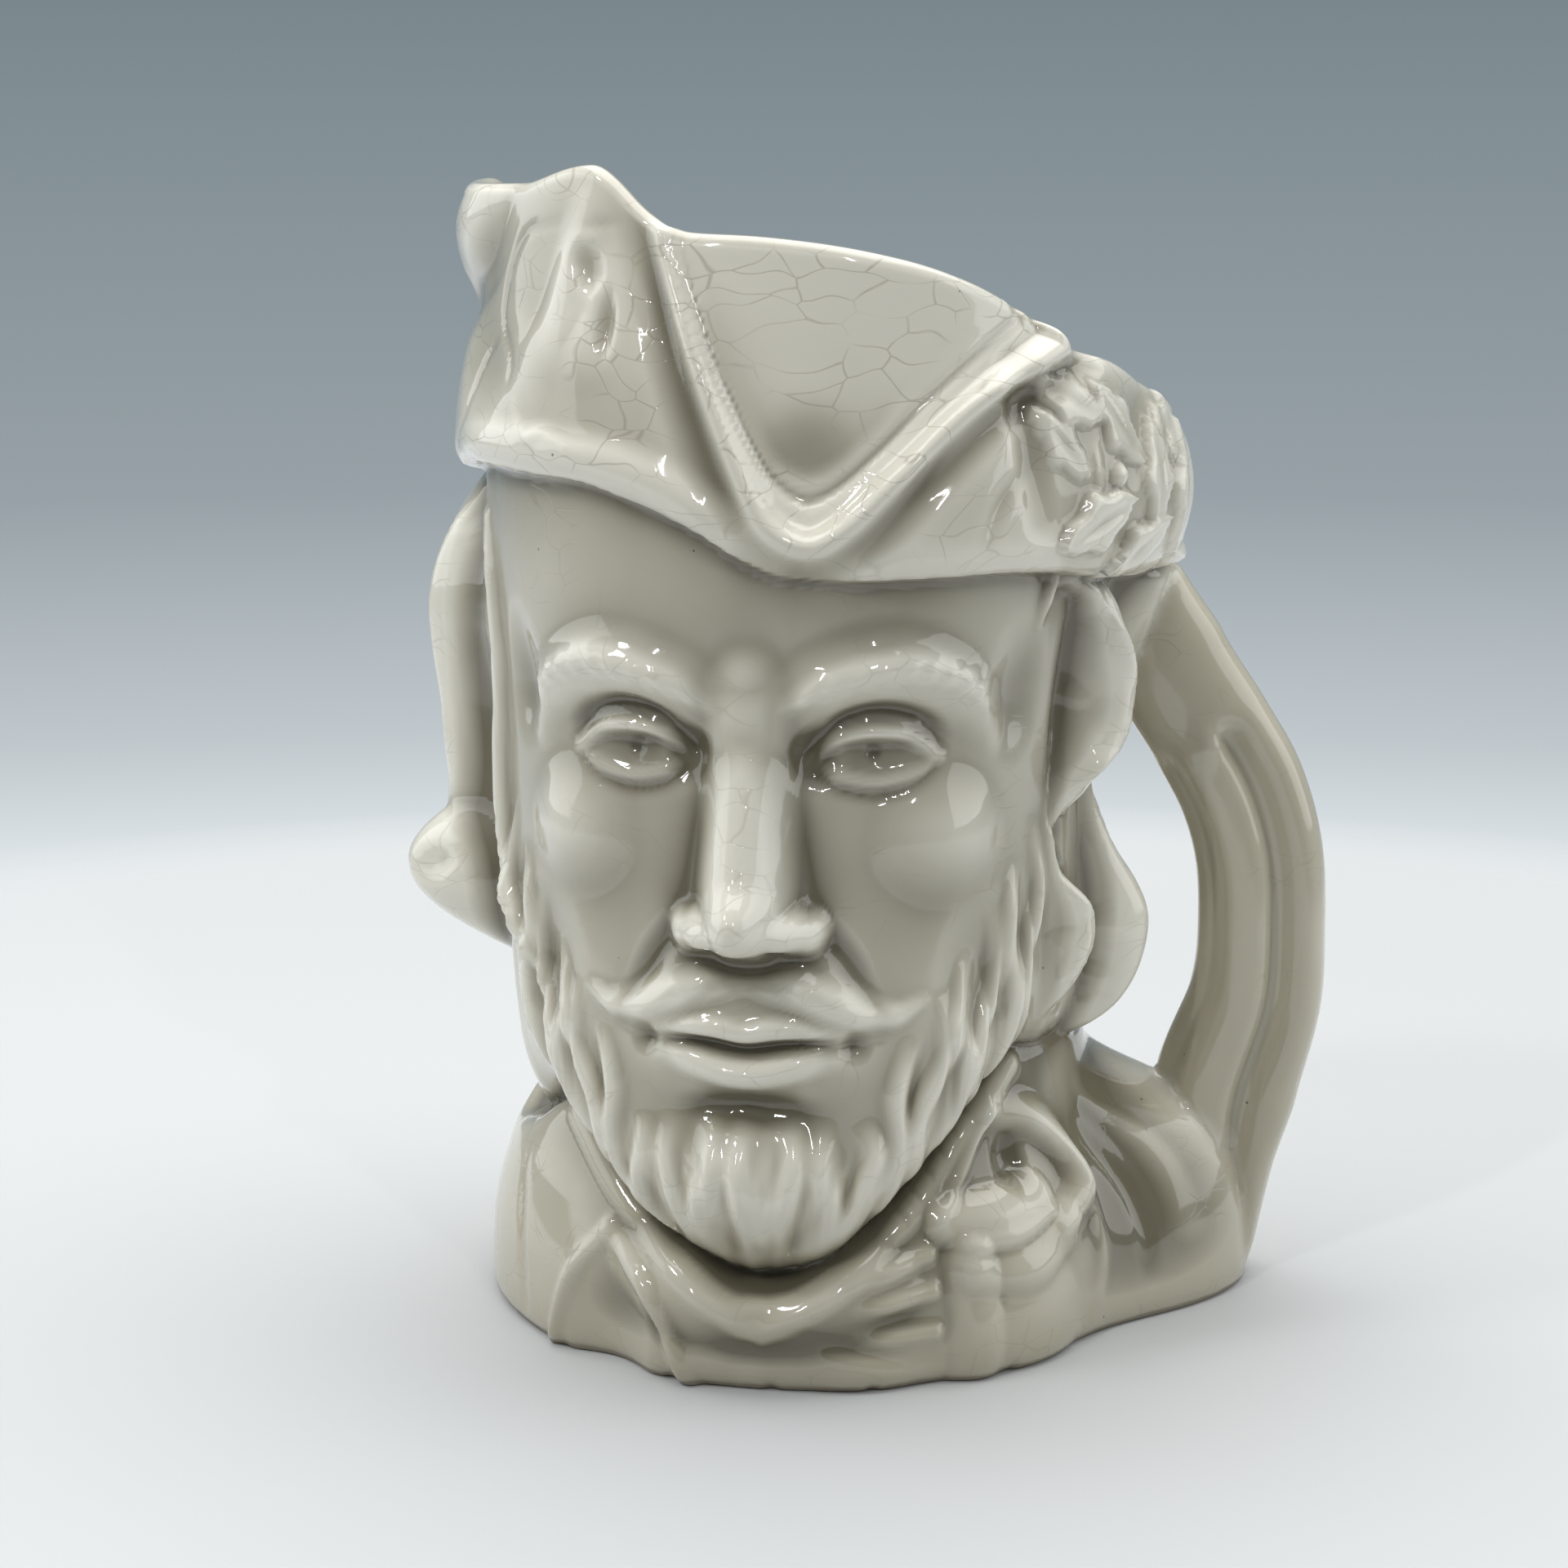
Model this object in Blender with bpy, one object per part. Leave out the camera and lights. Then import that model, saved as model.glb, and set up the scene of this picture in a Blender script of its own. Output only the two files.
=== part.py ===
"""A slip-cast character jug: the head of a bearded hunter in a peaked hat, with a ribbed loop handle.

The jug is one hollow piece of pottery. Its wall is built from rings, as a mould maker turns a blank,
and each ring is then carved: the outside radius is a function of the turn round the jug's axis, in
degrees from the middle of the face towards the handle, and of the rise above the table.
The carving is written in shares of the jug's height: one unit is 1/190 of it, so about a millimetre.
"""
import math

import bmesh
import bpy
import numpy as np

# Driving sizes, in metres
JUG_HEIGHT = 0.189          # table to the peak of the hat
WALL = 0.0045               # fired wall, measured level
LIP_THICKNESS = 0.0042      # wall at the mouth
FLOOR_THICKNESS = 0.0055    # pottery under the hollow
FOOT_RING_WIDTH = 0.008     # ring that the jug stands on
FOOT_RECESS = 0.0015        # height of the underside inside that ring
FOOT_RUBBED = 0.0005        # pottery rubbed off under the ring to make it flat
HANDLE_WIDTH = 0.0214       # handle across, in the plane of its loop
HANDLE_THICKNESS = 0.0185   # handle across, the other way
HANDLE_FOOT_LIFT = 0.0008   # gap between the table and the handle's foot
SOLID_TRIANGLES = 9400      # faces of the finished solid

# Shares of the height
UNIT = JUG_HEIGHT / 190
DEGREE = math.radians(1) * 60          # units along the surface for a degree of turn
COLUMNS = 288
WALL_ROWS = 132
LIP_ROWS = 5
INNER_ROWS = 22

# Places on the face, by the rule of thirds
CHIN = 30.0
BROW = 112.0
NOSE_BASE = (CHIN + BROW) / 2
MOUTH = NOSE_BASE - (NOSE_BASE - CHIN) / 3
EYE = BROW - 9.0
EYE_TURN = 19.0

HANDLE_TURN = 101.0                    # side on which the handle stands, in degrees


# Curves and soft shapes

def soft_step(value, low, high):
    """0 below low, 1 above high, and smooth between."""
    t = np.clip((value - low) / (high - low), 0, 1)
    return t * t * (3 - 2 * t)


def soft_max(a, b, blend):
    """The larger of two heights, with a fillet where they meet."""
    h = np.clip(0.5 + 0.5 * (a - b) / blend, 0, 1)
    return b + (a - b) * h + blend * h * (1 - h)


def through(x, stations):
    """A smooth curve through stations (x, y) that never overshoots them."""
    xs = np.array([s[0] for s in stations], float)
    ys = np.array([s[1] for s in stations], float)
    width = np.diff(xs)
    rate = np.diff(ys) / width
    slope = np.zeros(len(xs))
    same = rate[:-1] * rate[1:] > 0
    slope[1:-1][same] = 2 / (1 / rate[:-1][same] + 1 / rate[1:][same])
    slope[0], slope[-1] = rate[0], rate[-1]
    x = np.clip(x, xs[0], xs[-1])
    i = np.clip(np.searchsorted(xs, x, side="right") - 1, 0, len(width) - 1)
    t = (x - xs[i]) / width[i]
    return (
        ys[i] * (1 + 2 * t) * (1 - t) ** 2
        + ys[i + 1] * t * t * (3 - 2 * t)
        + width[i] * t * (1 - t) * (slope[i] * (1 - t) - slope[i + 1] * t)
    )


def around(turn, stations):
    """A smooth closed curve through stations (turn, value), for turns from -180 to 180."""
    ends = [(t - 360, v) for t, v in stations[-2:]] + list(stations)
    return through(turn, ends + [(t + 360, v) for t, v in stations[:2]])


def smooth_path(points, steps=7):
    """Points along a Catmull-Rom curve through the given ones."""
    p = np.array(points, float)
    p = np.vstack([2 * p[0] - p[1], p, 2 * p[-1] - p[-2]])
    t = (np.arange(steps) / steps)[:, None]
    found = []
    for a, b, c, d in zip(p, p[1:], p[2:], p[3:]):
        bend = (2 * a - 5 * b + 4 * c - d) * t**2 + (3 * b - a - 3 * c + d) * t**3
        found.append(0.5 * (2 * b + (c - a) * t + bend))
    return np.vstack(found + [p[-2:-1]])


class Surface:
    """The points of the jug's outside, by turn and rise, and the carving tools that read them."""

    def __init__(self, turn, rise):
        self.turn = turn
        self.rise = rise

    def flat(self):
        return np.zeros(self.turn.shape)

    def beside(self, turn):
        """Turn of every point, counted so that it doesn't jump near the given turn."""
        return (self.turn - turn + 180) % 360 - 180 + turn

    def along(self, path, reach):
        """Points within reach of a path, their distance to it (minus on its right) and share along it."""
        line = smooth_path(path)
        middle = (line[:, 0].min() + line[:, 0].max()) / 2
        turn = self.beside(middle)
        low, high = line.min(0), line.max(0)
        near = np.nonzero(
            (turn > low[0] - reach / DEGREE) & (turn < high[0] + reach / DEGREE)
            & (self.rise > low[1] - reach) & (self.rise < high[1] + reach)
        )
        px, py = turn[near] * DEGREE, self.rise[near]
        line = line * np.array([DEGREE, 1.0])
        best = np.full(px.shape, 1e9)
        side, share = np.zeros(px.shape), np.zeros(px.shape)
        count = len(line) - 1
        for k in range(count):
            (ax, ay), (bx, by) = line[k], line[k + 1]
            dx, dy = bx - ax, by - ay
            t = np.clip(((px - ax) * dx + (py - ay) * dy) / (dx * dx + dy * dy + 1e-12), 0, 1)
            away = np.hypot(px - ax - t * dx, py - ay - t * dy)
            closer = away < best
            best[closer] = away[closer]
            side[closer] = np.sign(dx * (py - ay) - dy * (px - ax))[closer]
            share[closer] = ((k + t) / count)[closer]
        return near, best * np.where(side < 0, -1.0, 1.0), share

    def ridge(self, path, half_width, height, full=2.0):
        """A rounded roll of clay along a path. Width and height may change along it."""
        wide = float(np.max(half_width))
        near, off, share = self.along(path, wide)
        w = np.interp(share, np.linspace(0, 1, np.size(half_width)), np.atleast_1d(half_width))
        h = np.interp(share, np.linspace(0, 1, np.size(height)), np.atleast_1d(height))
        found = self.flat()
        found[near] = h * np.clip(1 - (off / w) ** 2, 0, 1) ** full
        return found

    def dome(self, at, size, height, full=2.0, tilt=0.0):
        """An oval swelling, or a hollow where the height is negative."""
        x = (self.beside(at[0]) - at[0]) * DEGREE
        y = self.rise - at[1]
        c, s = math.cos(math.radians(tilt)), math.sin(math.radians(tilt))
        q = ((x * c + y * s) / size[0]) ** 2 + ((y * c - x * s) / size[1]) ** 2
        return height * np.clip(1 - q, 0, 1) ** full

    def beyond(self, path, reach=75):
        """Distance of every point past a path, minus before it."""
        near, off, _ = self.along(path, reach)
        found = self.flat() - reach
        found[near] = off
        return found

    def both(self, tool, path, *sizes, **more):
        """The same stroke on both sides of the face."""
        if isinstance(path[0], (int, float)):
            return tool(path, *sizes, **more) + tool((-path[0], path[1]), *sizes, **more)
        mirrored = [(-t, r) for t, r in path]
        return tool(path, *sizes, **more) + tool(mirrored, *sizes, **more)


# The head

def oval(turn, half_width, depth, squareness=2.15):
    """Radius of an oval section with the given half width and depth."""
    t = np.radians(turn)
    return (
        np.abs(np.sin(t) / half_width) ** squareness + np.abs(np.cos(t) / depth) ** squareness
    ) ** (-1 / squareness)


def plain_head(s):
    """The head without features: skin at the front, skull at the back."""
    left = through(s.rise, [(0, 42), (35, 46.5), (60, 49.5), (85, 50.5), (110, 51), (135, 52.5), (190, 52)])
    right = through(s.rise, [(0, 42), (35, 44), (60, 46), (85, 45.5), (110, 47), (135, 50), (190, 50)])
    half_width = np.where(s.turn < 0, left, right)
    front = through(s.rise, [
        (0, 48), (18, 58), (32, 61), (46, 60), (60, 60), (85, 58.5), (104, 58), (118, 60.5), (140, 62),
        (190, 58),
    ])
    back = through(s.rise, [(0, 44), (45, 47), (70, 51), (100, 55), (130, 56), (190, 50)])
    return oval(s.turn, half_width, np.where(np.abs(s.turn) < 90, front, back))


def nose(s):
    bridge = s.ridge(
        [(0, 113), (0, 104), (0, 92), (0, 81), (0, 77)], (7, 8, 9, 10, 9.5), (1, 5, 9.5, 13, 13.5), 1.8
    )
    tip = s.dome((0, 79), (7, 6.5), 3.6)
    wings = s.both(s.dome, (8.0, 75.6), (5.2, 4.8), 6.0, full=1.3)
    nostrils = s.both(s.dome, (4.2, 72.6), (2.8, 1.8), -2.0)
    return (bridge + tip + wings + nostrils) * soft_step(s.rise, NOSE_BASE - 1.5, NOSE_BASE + 3.5)


def eyes(s):
    socket = s.both(s.dome, (EYE_TURN, EYE), (14, 9.5), -5.5)
    corner = s.both(s.dome, (9.5, EYE - 1), (5, 6), -2.0)
    ball = s.both(s.dome, (EYE_TURN + 0.5, EYE - 0.6), (10.8, 6.6), 4.0, full=1.0)
    lid = s.both(s.dome, (EYE_TURN + 0.5, EYE + 3.4), (10, 3.6), 1.3)
    upper = s.both(
        s.ridge,
        [(9.4, EYE - 1.8), (13, EYE + 1.5), (18.5, EYE + 2.8), (24.5, EYE + 1.8), (29.8, EYE - 1.6)],
        1.7, (0.5, 1.5, 1.8, 1.6, 0.7),
    )
    lower = s.both(
        s.ridge,
        [(9.4, EYE - 2), (14, EYE - 3.9), (19.5, EYE - 4.8), (25, EYE - 3.8), (29.8, EYE - 1.8)],
        1.6, (0.4, 0.9, 1.1, 0.9, 0.4),
    )
    crease = s.both(
        s.ridge, [(10.5, EYE + 2.4), (14, EYE + 5.6), (20, EYE + 7), (27, EYE + 5), (32, EYE + 0.8)],
        1.5, (0, -1, -1.2, -1, 0),
    )
    pupil = s.both(s.dome, (EYE_TURN, EYE - 0.6), (1.9, 1.9), -0.8)
    return socket + corner + ball + lid + upper + lower + crease + pupil


def brows(s):
    bone = s.both(
        s.ridge, [(4, 108), (12, 113), (22, 115), (33, 111), (40, 105)],
        (6, 8, 8.5, 8, 6), (1.2, 2.5, 2.8, 2.4, 0.8),
    )
    hair = s.both(
        s.ridge, [(6, 110.5), (13, 114.5), (23, 116.5), (32, 114), (38, 109)],
        (2.4, 3.6, 3.6, 3, 1.6), (0.5, 1.1, 1.2, 1.0, 0.3),
    )
    return bone + hair + s.dome((0, 113), (7, 8), 1.5)


def mouth(s):
    muzzle = s.dome((0, 60), (25, 17), 3.4)
    parting = s.ridge(
        [(-15, MOUTH), (-8, MOUTH + 0.9), (0, MOUTH), (8, MOUTH + 0.9), (15, MOUTH)],
        1.9, (-0.6, -2.2, -2.4, -2.2, -0.6),
    )
    upper = s.ridge(
        [(-13, MOUTH + 1.4), (-5, MOUTH + 3.6), (0, MOUTH + 2.8), (5, MOUTH + 3.6), (13, MOUTH + 1.4)],
        2.7, (0.4, 1.7, 1.5, 1.7, 0.4),
    )
    lower = s.ridge([(-12, MOUTH - 1.6), (0, MOUTH - 4.2), (12, MOUTH - 1.6)], 3.5, (0.5, 2.8, 0.5))
    corners = s.both(s.dome, (16, MOUTH), (3.4, 3.4), -1.4)
    under = s.dome((0, MOUTH - 10), (13, 4.6), -2.4)
    folds = s.both(s.ridge, [(9.5, 78), (15, 70), (19.5, 60)], 3.4, (-0.5, -1.5, -0.6))
    return muzzle + parting + upper + lower + corners + under + folds


def cheeks(s):
    bones = s.both(s.dome, (31, 89), (15, 12), 3.2)
    hollows = s.both(s.dome, (39, 66), (12, 14), -1.6)
    temples = s.both(s.dome, (46, 110), (9, 13), -1.8)
    chin = s.dome((0, 36), (17, 13), 4.2)
    return bones + hollows + temples + chin


def beard(s):
    """Moustache, chin tuft and the waved strands along both jaws."""
    found = s.both(
        s.ridge, [(1.2, 67.5), (7, 67), (14, 64), (21, 61.5), (27, 63.5)],
        (2.4, 3.9, 4.2, 3.2, 1.6), (0.8, 2.2, 2.3, 1.7, 0.4),
    )
    for k in range(-3, 4):
        start, end = k * 5.6, k * 4.0
        sway = 1.2 if k % 2 else -0.8
        found += s.ridge(
            [(start, 48 - abs(k)), (start * 1.06 + sway, 39), (start - sway, 29), (end, 20.5 + 0.6 * abs(k))],
            3.3, (0, 1.7, 2.0, 0.8),
        )
    for k in range(6):
        top = (25 + 5.6 * k, 58 + 6.2 * k)
        low = (21 + 6.0 * k, 30 + 4.3 * k)
        bend = 1.8 if k % 2 else -1.2
        path = [
            top,
            (top[0] * 0.66 + low[0] * 0.34 + bend, top[1] * 0.66 + low[1] * 0.34),
            (top[0] * 0.33 + low[0] * 0.67 - bend, top[1] * 0.33 + low[1] * 0.67),
            low,
        ]
        found += s.both(s.ridge, path, 3.0, (0, 1.9, 1.9, 0.8))
    return found


# Locks at the sides: path as (turn, rise), half widths and heights along it
LOCKS = [
    (
        [(-90, 141), (-92, 130), (-91, 114), (-93, 100), (-92, 88), (-91, 77), (-92, 63)],
        (14, 22, 26, 26, 25, 24, 16), (2, 9.8, 14.2, 13.8, 13.6, 14, 4),
    ),
    (
        [(-116, 142), (-112, 126), (-116, 108), (-111, 92), (-116, 76), (-110, 60), (-113, 48)],
        (8, 11, 11, 11, 12, 10, 6), (4, 8, 8.6, 8, 9, 7, 2),
    ),
    (
        [(60, 128), (67, 118), (70, 105), (64, 95), (58, 86), (58, 78), (63, 68), (58, 57)],
        (3, 8, 11, 8, 4, 5, 8.5, 4), (2.5, 7.5, 9.6, 6.6, 3.5, 3.8, 6.6, 1.6),
    ),
    (
        [(74, 108), (78, 92), (82, 80), (86, 66), (82, 54), (74, 47)],
        (5, 6, 8, 11, 8, 3), (1, 2, 5.5, 11, 8, 1),
    ),
]

# Strokes cut along the locks (minus) and raised on their rims
LOCK_STROKES = [
    (
        [(60, 122), (64, 114), (66, 105), (61, 97), (57, 87), (57.5, 78), (60.5, 68), (58, 60)],
        (1.5, 4, 6, 4, 1.6, 2, 4.6, 1.5), (0, -1.4, -3, -1.6, -0.3, -0.5, -2.4, -0.4),
    ),
    (
        [(62.5, 121), (70.5, 113), (74.5, 105.5), (71, 99), (63, 94.5), (58, 89.5), (58.5, 82), (62, 76),
         (67.5, 70), (66.5, 62), (61, 57)],
        2.4, (0.6, 1.2, 1.6, 1.5, 1.2, 0.6, 0.8, 1.2, 1.8, 1.4, 0.5),
    ),
    ([(-83, 136), (-84, 121), (-84.5, 108), (-84, 95), (-81, 83)], 3.6, (0.4, 1.3, 1.5, 1.3, 0.4)),
    (
        [(-73, 132), (-74, 118), (-74, 100), (-72.5, 84), (-69, 72)],
        (4, 6, 6.5, 6, 4), (-0.5, -1.5, -1.7, -1.5, -0.5),
    ),
]


def hair(s):
    """Locks that fall from under the hat to the collar, curling out at the lower left."""
    found = s.ridge([(62, 128), (60, 100), (61, 70)], (5, 5.5, 4), (-0.8, -1.8, -0.8))
    laid = s.flat()
    for path, width, height in LOCKS:
        laid = soft_max(laid, s.ridge(path, width, height, 1.3), 0.8)
    laid = soft_max(laid, s.dome((-83, 72), (17, 16), 19.4, 1.1), 1.5)
    laid -= s.dome((-75.5, 73.4), (3.8, 4.4), 2.0)
    for path, width, height in LOCK_STROKES:
        laid += s.ridge(path, width, height)
    for k in range(7):
        middle = 130 + 17 * k
        sway = 4.5 if k % 2 else -4.5
        path = [
            (middle, 140), (middle + sway, 118), (middle - sway * 0.6, 94), (middle + sway * 0.8, 72),
            (middle - sway * 0.5, 50),
        ]
        laid = soft_max(laid, s.ridge(path, (9, 11, 10, 11, 7), (3, 5, 4.4, 6, 3), 1.3), 0.8)
    return found + laid


def face_edge(s):
    """The raised edge of skin and beard in front of the hair at the left."""
    return s.ridge(
        [(-61, 134), (-58.5, 120), (-59.5, 105), (-60.5, 90), (-57.5, 77.4), (-50.5, 69.3), (-42, 61.7)],
        (2.6, 3, 3, 3, 3, 2.8, 2), (0.8, 2, 2.2, 2.4, 2.4, 1.8, 0.6),
    )


def jaw_line(turn):
    """Rise of the lower edge of the beard, and of the hair behind it."""
    return around(turn, [
        (-150, 45), (-94, 33.5), (-78, 28), (-62, 34.5), (-45, 42), (-32, 36), (-20, 28.5), (-10, 22.4),
        (0, 18.6), (9, 19.8), (17, 25), (24, 31), (33, 38), (42, 45), (52, 50), (64, 48), (94, 44.5),
        (150, 45),
    ])


def head(s):
    found = plain_head(s)
    front = soft_step(64 - np.abs(s.turn), 0, 6)
    face = nose(s) + eyes(s) + brows(s) + mouth(s) + cheeks(s) + beard(s)
    behind = soft_step(np.abs(s.turn), 54, 62)
    found = found + face * front + hair(s) * behind + face_edge(s)
    above = s.rise - jaw_line(s.turn)
    edge = np.clip(above / 13, 0, 1)
    roll = 9.5 * (1 - np.sqrt(1 - (1 - edge) ** 2))
    return found - roll - 2.2 * np.clip(-above, 0, 20)


# The hat

def brim_line(turn):
    """Rise of the lower edge of the brim."""
    return around(turn, [
        (-150, 138), (-110, 138), (-74, 140.5), (-52, 144), (-26, 143.6), (-15, 141), (-6, 137), (0, 133),
        (6, 130.5), (14, 130), (35, 130), (48, 129), (60, 127), (80, 125), (110, 128), (150, 134),
    ])


def mouth_line(turn):
    """Rise of the jug's mouth, which is also the top of the hat."""
    return around(turn, [
        (-150, 160), (-120, 168), (-95, 181), (-78, 187), (-62, 186.6), (-45, 187), (-27, 190),
        (-15, 182.6), (-9, 180.4), (0, 180), (10, 179), (23, 176.5), (34, 173), (46, 167.4), (54, 162.5),
        (66, 159.5), (80, 155), (95, 150), (120, 150), (160, 156),
    ])


# The notch in the brim: the outer edge of its rolled lip, and the line where the lip meets the crown
LIP_OUTSIDE = [
    (-18, 196), (-13.5, 182), (-6.8, 164), (-0.5, 147.5), (3.5, 138.5), (8.8, 135), (14, 138), (21, 145.5),
    (32, 155), (44, 161), (60, 167),
]
LIP_INSIDE = [
    (-12, 196), (-8.8, 180), (-5.2, 166), (2, 150.5), (4.8, 146.4), (8.6, 144.6), (12.4, 146), (17.5, 150.4),
    (25.5, 158.4), (38, 168), (52, 175),
]


def hat(s):
    """Turned-up brim with a deep notch over the brow, and the crown that shows in the notch."""
    left = through(s.rise, [(120, 57), (142, 58.4), (150, 58), (160, 56.2), (171, 52), (190, 50)])
    right = through(s.rise, [(120, 55.5), (138, 56), (158, 55), (171, 53), (190, 52)])
    half_width = np.where(s.turn < 0, left, right)
    front = through(s.rise, [(120, 65), (136, 66.5), (158, 64), (175, 60), (190, 57)])
    back = through(s.rise, [(120, 60), (136, 60), (160, 55), (190, 50)])
    found = oval(s.turn, half_width, np.where(np.abs(s.turn) < 90, front, back), 2.1)
    past_edge, past_lip = s.beyond(LIP_OUTSIDE), s.beyond(LIP_INSIDE)
    ramp = np.clip(past_edge / np.maximum(past_edge - past_lip + 1.2, 1), 0, 1)
    found -= 8.8 * (0.55 * ramp + 0.45 * soft_step(ramp, 0, 1))
    found += 1.3 * np.clip(1 - ((past_edge - 0.4) / 2.8) ** 2, 0, 1) ** 2
    found -= 0.9 * np.clip(1 - ((past_edge + 5) / 3.6) ** 2, 0, 1) ** 2
    found += 0.7 * np.clip(1 - ((past_lip + 0.4) / 1.7) ** 2, 0, 1) ** 2
    found += s.ridge(
        [(-60, 146), (-45, 148), (-28, 148), (-14, 146), (-4, 140), (4, 133)],
        4.5, (0, 1.2, 1.2, 1.2, 1.2, 0.4),
    )
    found += s.dome((-24.8, 175.2), (3.4, 4.8), -2.4, tilt=30) + s.dome((-20.6, 167), (2.2, 6.6), -1.7)
    found += s.dome((-25, 170), (10, 15), 1.0)
    found += s.dome((-50, 160), (16, 10), -1.6)
    found += s.ridge([(-26, 184), (-30, 170), (-36, 152)], 6, (1.5, 1.2, 0))
    found += s.ridge([(40, 160), (41, 150), (43, 138)], 4.5, (-0.8, -1.6, -0.8))
    found += s.ridge(
        [(-95, 168), (-79, 177.5), (-64, 182), (-47, 187)], (8, 12, 11, 5), (1.5, 6.8, 6.2, 1.5), 1.3
    )
    found += s.ridge([(-45, 185), (-48.5, 178.6), (-54, 173.4), (-64, 168.6)], 3.6, (-0.6, -2.4, -2.4, -0.8))
    under = brim_line(s.turn) - s.rise
    edge = np.clip(1 + under / 3.5, 0, 1)
    return found - 1.6 * edge**2 - 4.5 * np.clip(under, 0, 20)


def leaf(s, at, length, width, tilt, height):
    """A pointed leaf with soft lobes. Its middle vein is a groove."""
    c, t = math.cos(math.radians(tilt)), math.sin(math.radians(tilt))
    x = (s.beside(at[0]) - at[0]) * DEGREE
    y = s.rise - at[1]
    u = (x * c + y * t) / length
    v = (y * c - x * t) / width
    outline = np.clip(1 - np.abs(u) ** 1.8, 0, 1) * (0.9 + 0.1 * np.cos(u * 8.5))
    inward = np.clip(1 - np.abs(v) / (outline + 1e-6), 0, 1) * np.clip((1 - np.abs(u)) * 5, 0, 1)
    vein = np.exp(-((v / 0.14) ** 2)) * 0.16 * (1 - np.abs(u))
    return height * (soft_step(inward, 0, 0.55) * 0.75 + 0.25 * inward - vein * (inward > 0))


LEAVES = [
    ((51, 155.2), 8, 4.6, -22, 3.2),
    ((48.5, 149), 7.5, 3.8, -42, 2.0),
    ((61.5, 150.5), 9.5, 5.4, -48, 4.6),
    ((56, 135.6), 10, 5.6, 18, 4.4),
    ((66.5, 129.8), 9.5, 4.6, 26, 5.0),
    ((71, 141.5), 10, 5.4, 86, 5.0),
    ((80, 149), 10, 5.6, 12, 3.4),
    ((82, 138.5), 12, 7, 84, 5.8),
]


def sprig(s):
    """Leaves and a berry on the side of the hat, above the handle."""
    found = s.flat()
    for place in LEAVES:
        found = soft_max(found, leaf(s, *place), 0.7)
    found = soft_max(found, s.ridge([(55.3, 149), (54.8, 144.7), (55.8, 140)], 1.8, (0.6, 1.6, 0.8)), 0.4)
    found = soft_max(found, s.ridge([(43, 132.6), (47, 133.2), (53, 134.6)], 1.5, (0.3, 1.0, 1.0)), 0.4)
    for at, size, height in (((60.2, 142.9), 2.5, 3.6), ((61.5, 139), 2.2, 2.4)):
        found = soft_max(found, s.dome(at, (size, size), height, 0.7), 0.5)
    return found


def sprig_stems(s):
    """Curled stem ends that lie on the hair under the brim."""
    curl = s.ridge(
        [(46, 130.4), (50.3, 130), (51.5, 127.5), (51, 124), (50.4, 120.5)], 2, (0.6, 1.8, 2, 1.6, 0.4)
    )
    bow = s.ridge([(52.3, 126.6), (56, 126.6), (60.5, 124.2), (62.6, 121.6)], 2.2, (0.8, 2.2, 2.4, 1.0))
    return np.maximum(curl, bow)


# The collar

def collar_line(turn):
    """Rise of the collar's upper edge: two lapels that cross under the beard."""
    return around(turn, [
        (-150, 46), (-95, 32.5), (-80, 26.5), (-66, 29), (-50, 35.5), (-40, 34.5), (-23, 26),
        (-11.5, 19.5), (-1, 13.5), (2, 13.5), (16, 21), (29, 30), (41, 39.5), (56, 47), (75, 47),
        (95, 44.5), (150, 46),
    ])


def collar(s):
    """The cloak's collar, with folds at the left and a knotted end at the right."""
    reach = through(s.rise, [(0, 55.0), (3, 55.8), (12, 55.4), (24, 52.6), (36, 47.5), (55, 44)])
    found = reach + s.dome((5, 2), (62, 32), 2.0) + s.dome((58, 14), (26, 24), 1.0)
    found += s.dome((-10, 6), (9, 9), 1.2) + s.dome((18, 4), (12, 9), 1.4)
    found += s.ridge([(-48, 38), (-36, 32), (-22, 24.5), (-11, 18), (-1, 11)], 3, 1.1)
    found += s.ridge([(54, 47), (41, 38), (28, 28), (15, 18.5), (2, 10)], 3.2, 1.3)
    found += s.ridge([(-28.6, 22), (-18, 15.7), (-10.2, 0)], 2.6, (0.6, 1.8, 1.6))
    found += s.ridge([(-28.6, 22), (-35.6, 12.7), (-39.4, 0)], 2.6, (0.6, 1.4, 1.6))
    found -= s.dome((-26.5, 4), (9.5, 16), 3.0, 1.2)
    for rise, lean in ((19.5, 3), (14.5, 1.6), (9, -0.8)):
        found += s.ridge([(17, rise - lean / 2), (23, rise), (29.5, rise + lean / 2)], 2.2, (0.3, 1.3, 1.1))
    found += s.ridge([(33, 25.5), (43, 25), (53, 26.5)], (4.2, 5, 4), (2.4, 3.4, 2.4), 0.9)
    found += s.ridge([(37, 19), (47, 18.5), (57, 21)], (5, 6, 5), (1.8, 2.4, 1.6), 1.0)
    found += s.ridge([(36, -2), (36.5, 9), (36, 19)], 5, (1.8, 2.0, 2.0), 1.0)
    found += s.dome((47, 5), (14, 16), 2.2, 1.2)
    found += s.ridge([(30, 25), (38.5, 32.5), (46, 41)], 1.8, (0.5, 1.5, 0.9))
    found += s.ridge(
        [(45, 40), (55, 38.5), (63, 33), (64, 25.5), (57, 22)], (3.4, 4.4, 5, 5, 4), (0.8, 2.2, 3.0, 2.8, 1)
    )
    found -= s.dome((49.5, 31.5), (5.4, 6.2), 2.2)
    above = s.rise - collar_line(s.turn)
    edge = np.clip(1 + above / 2.6, 0, 1)
    return found - 1.2 * edge**2 - 3.2 * np.clip(above, 0, 30)


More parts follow.
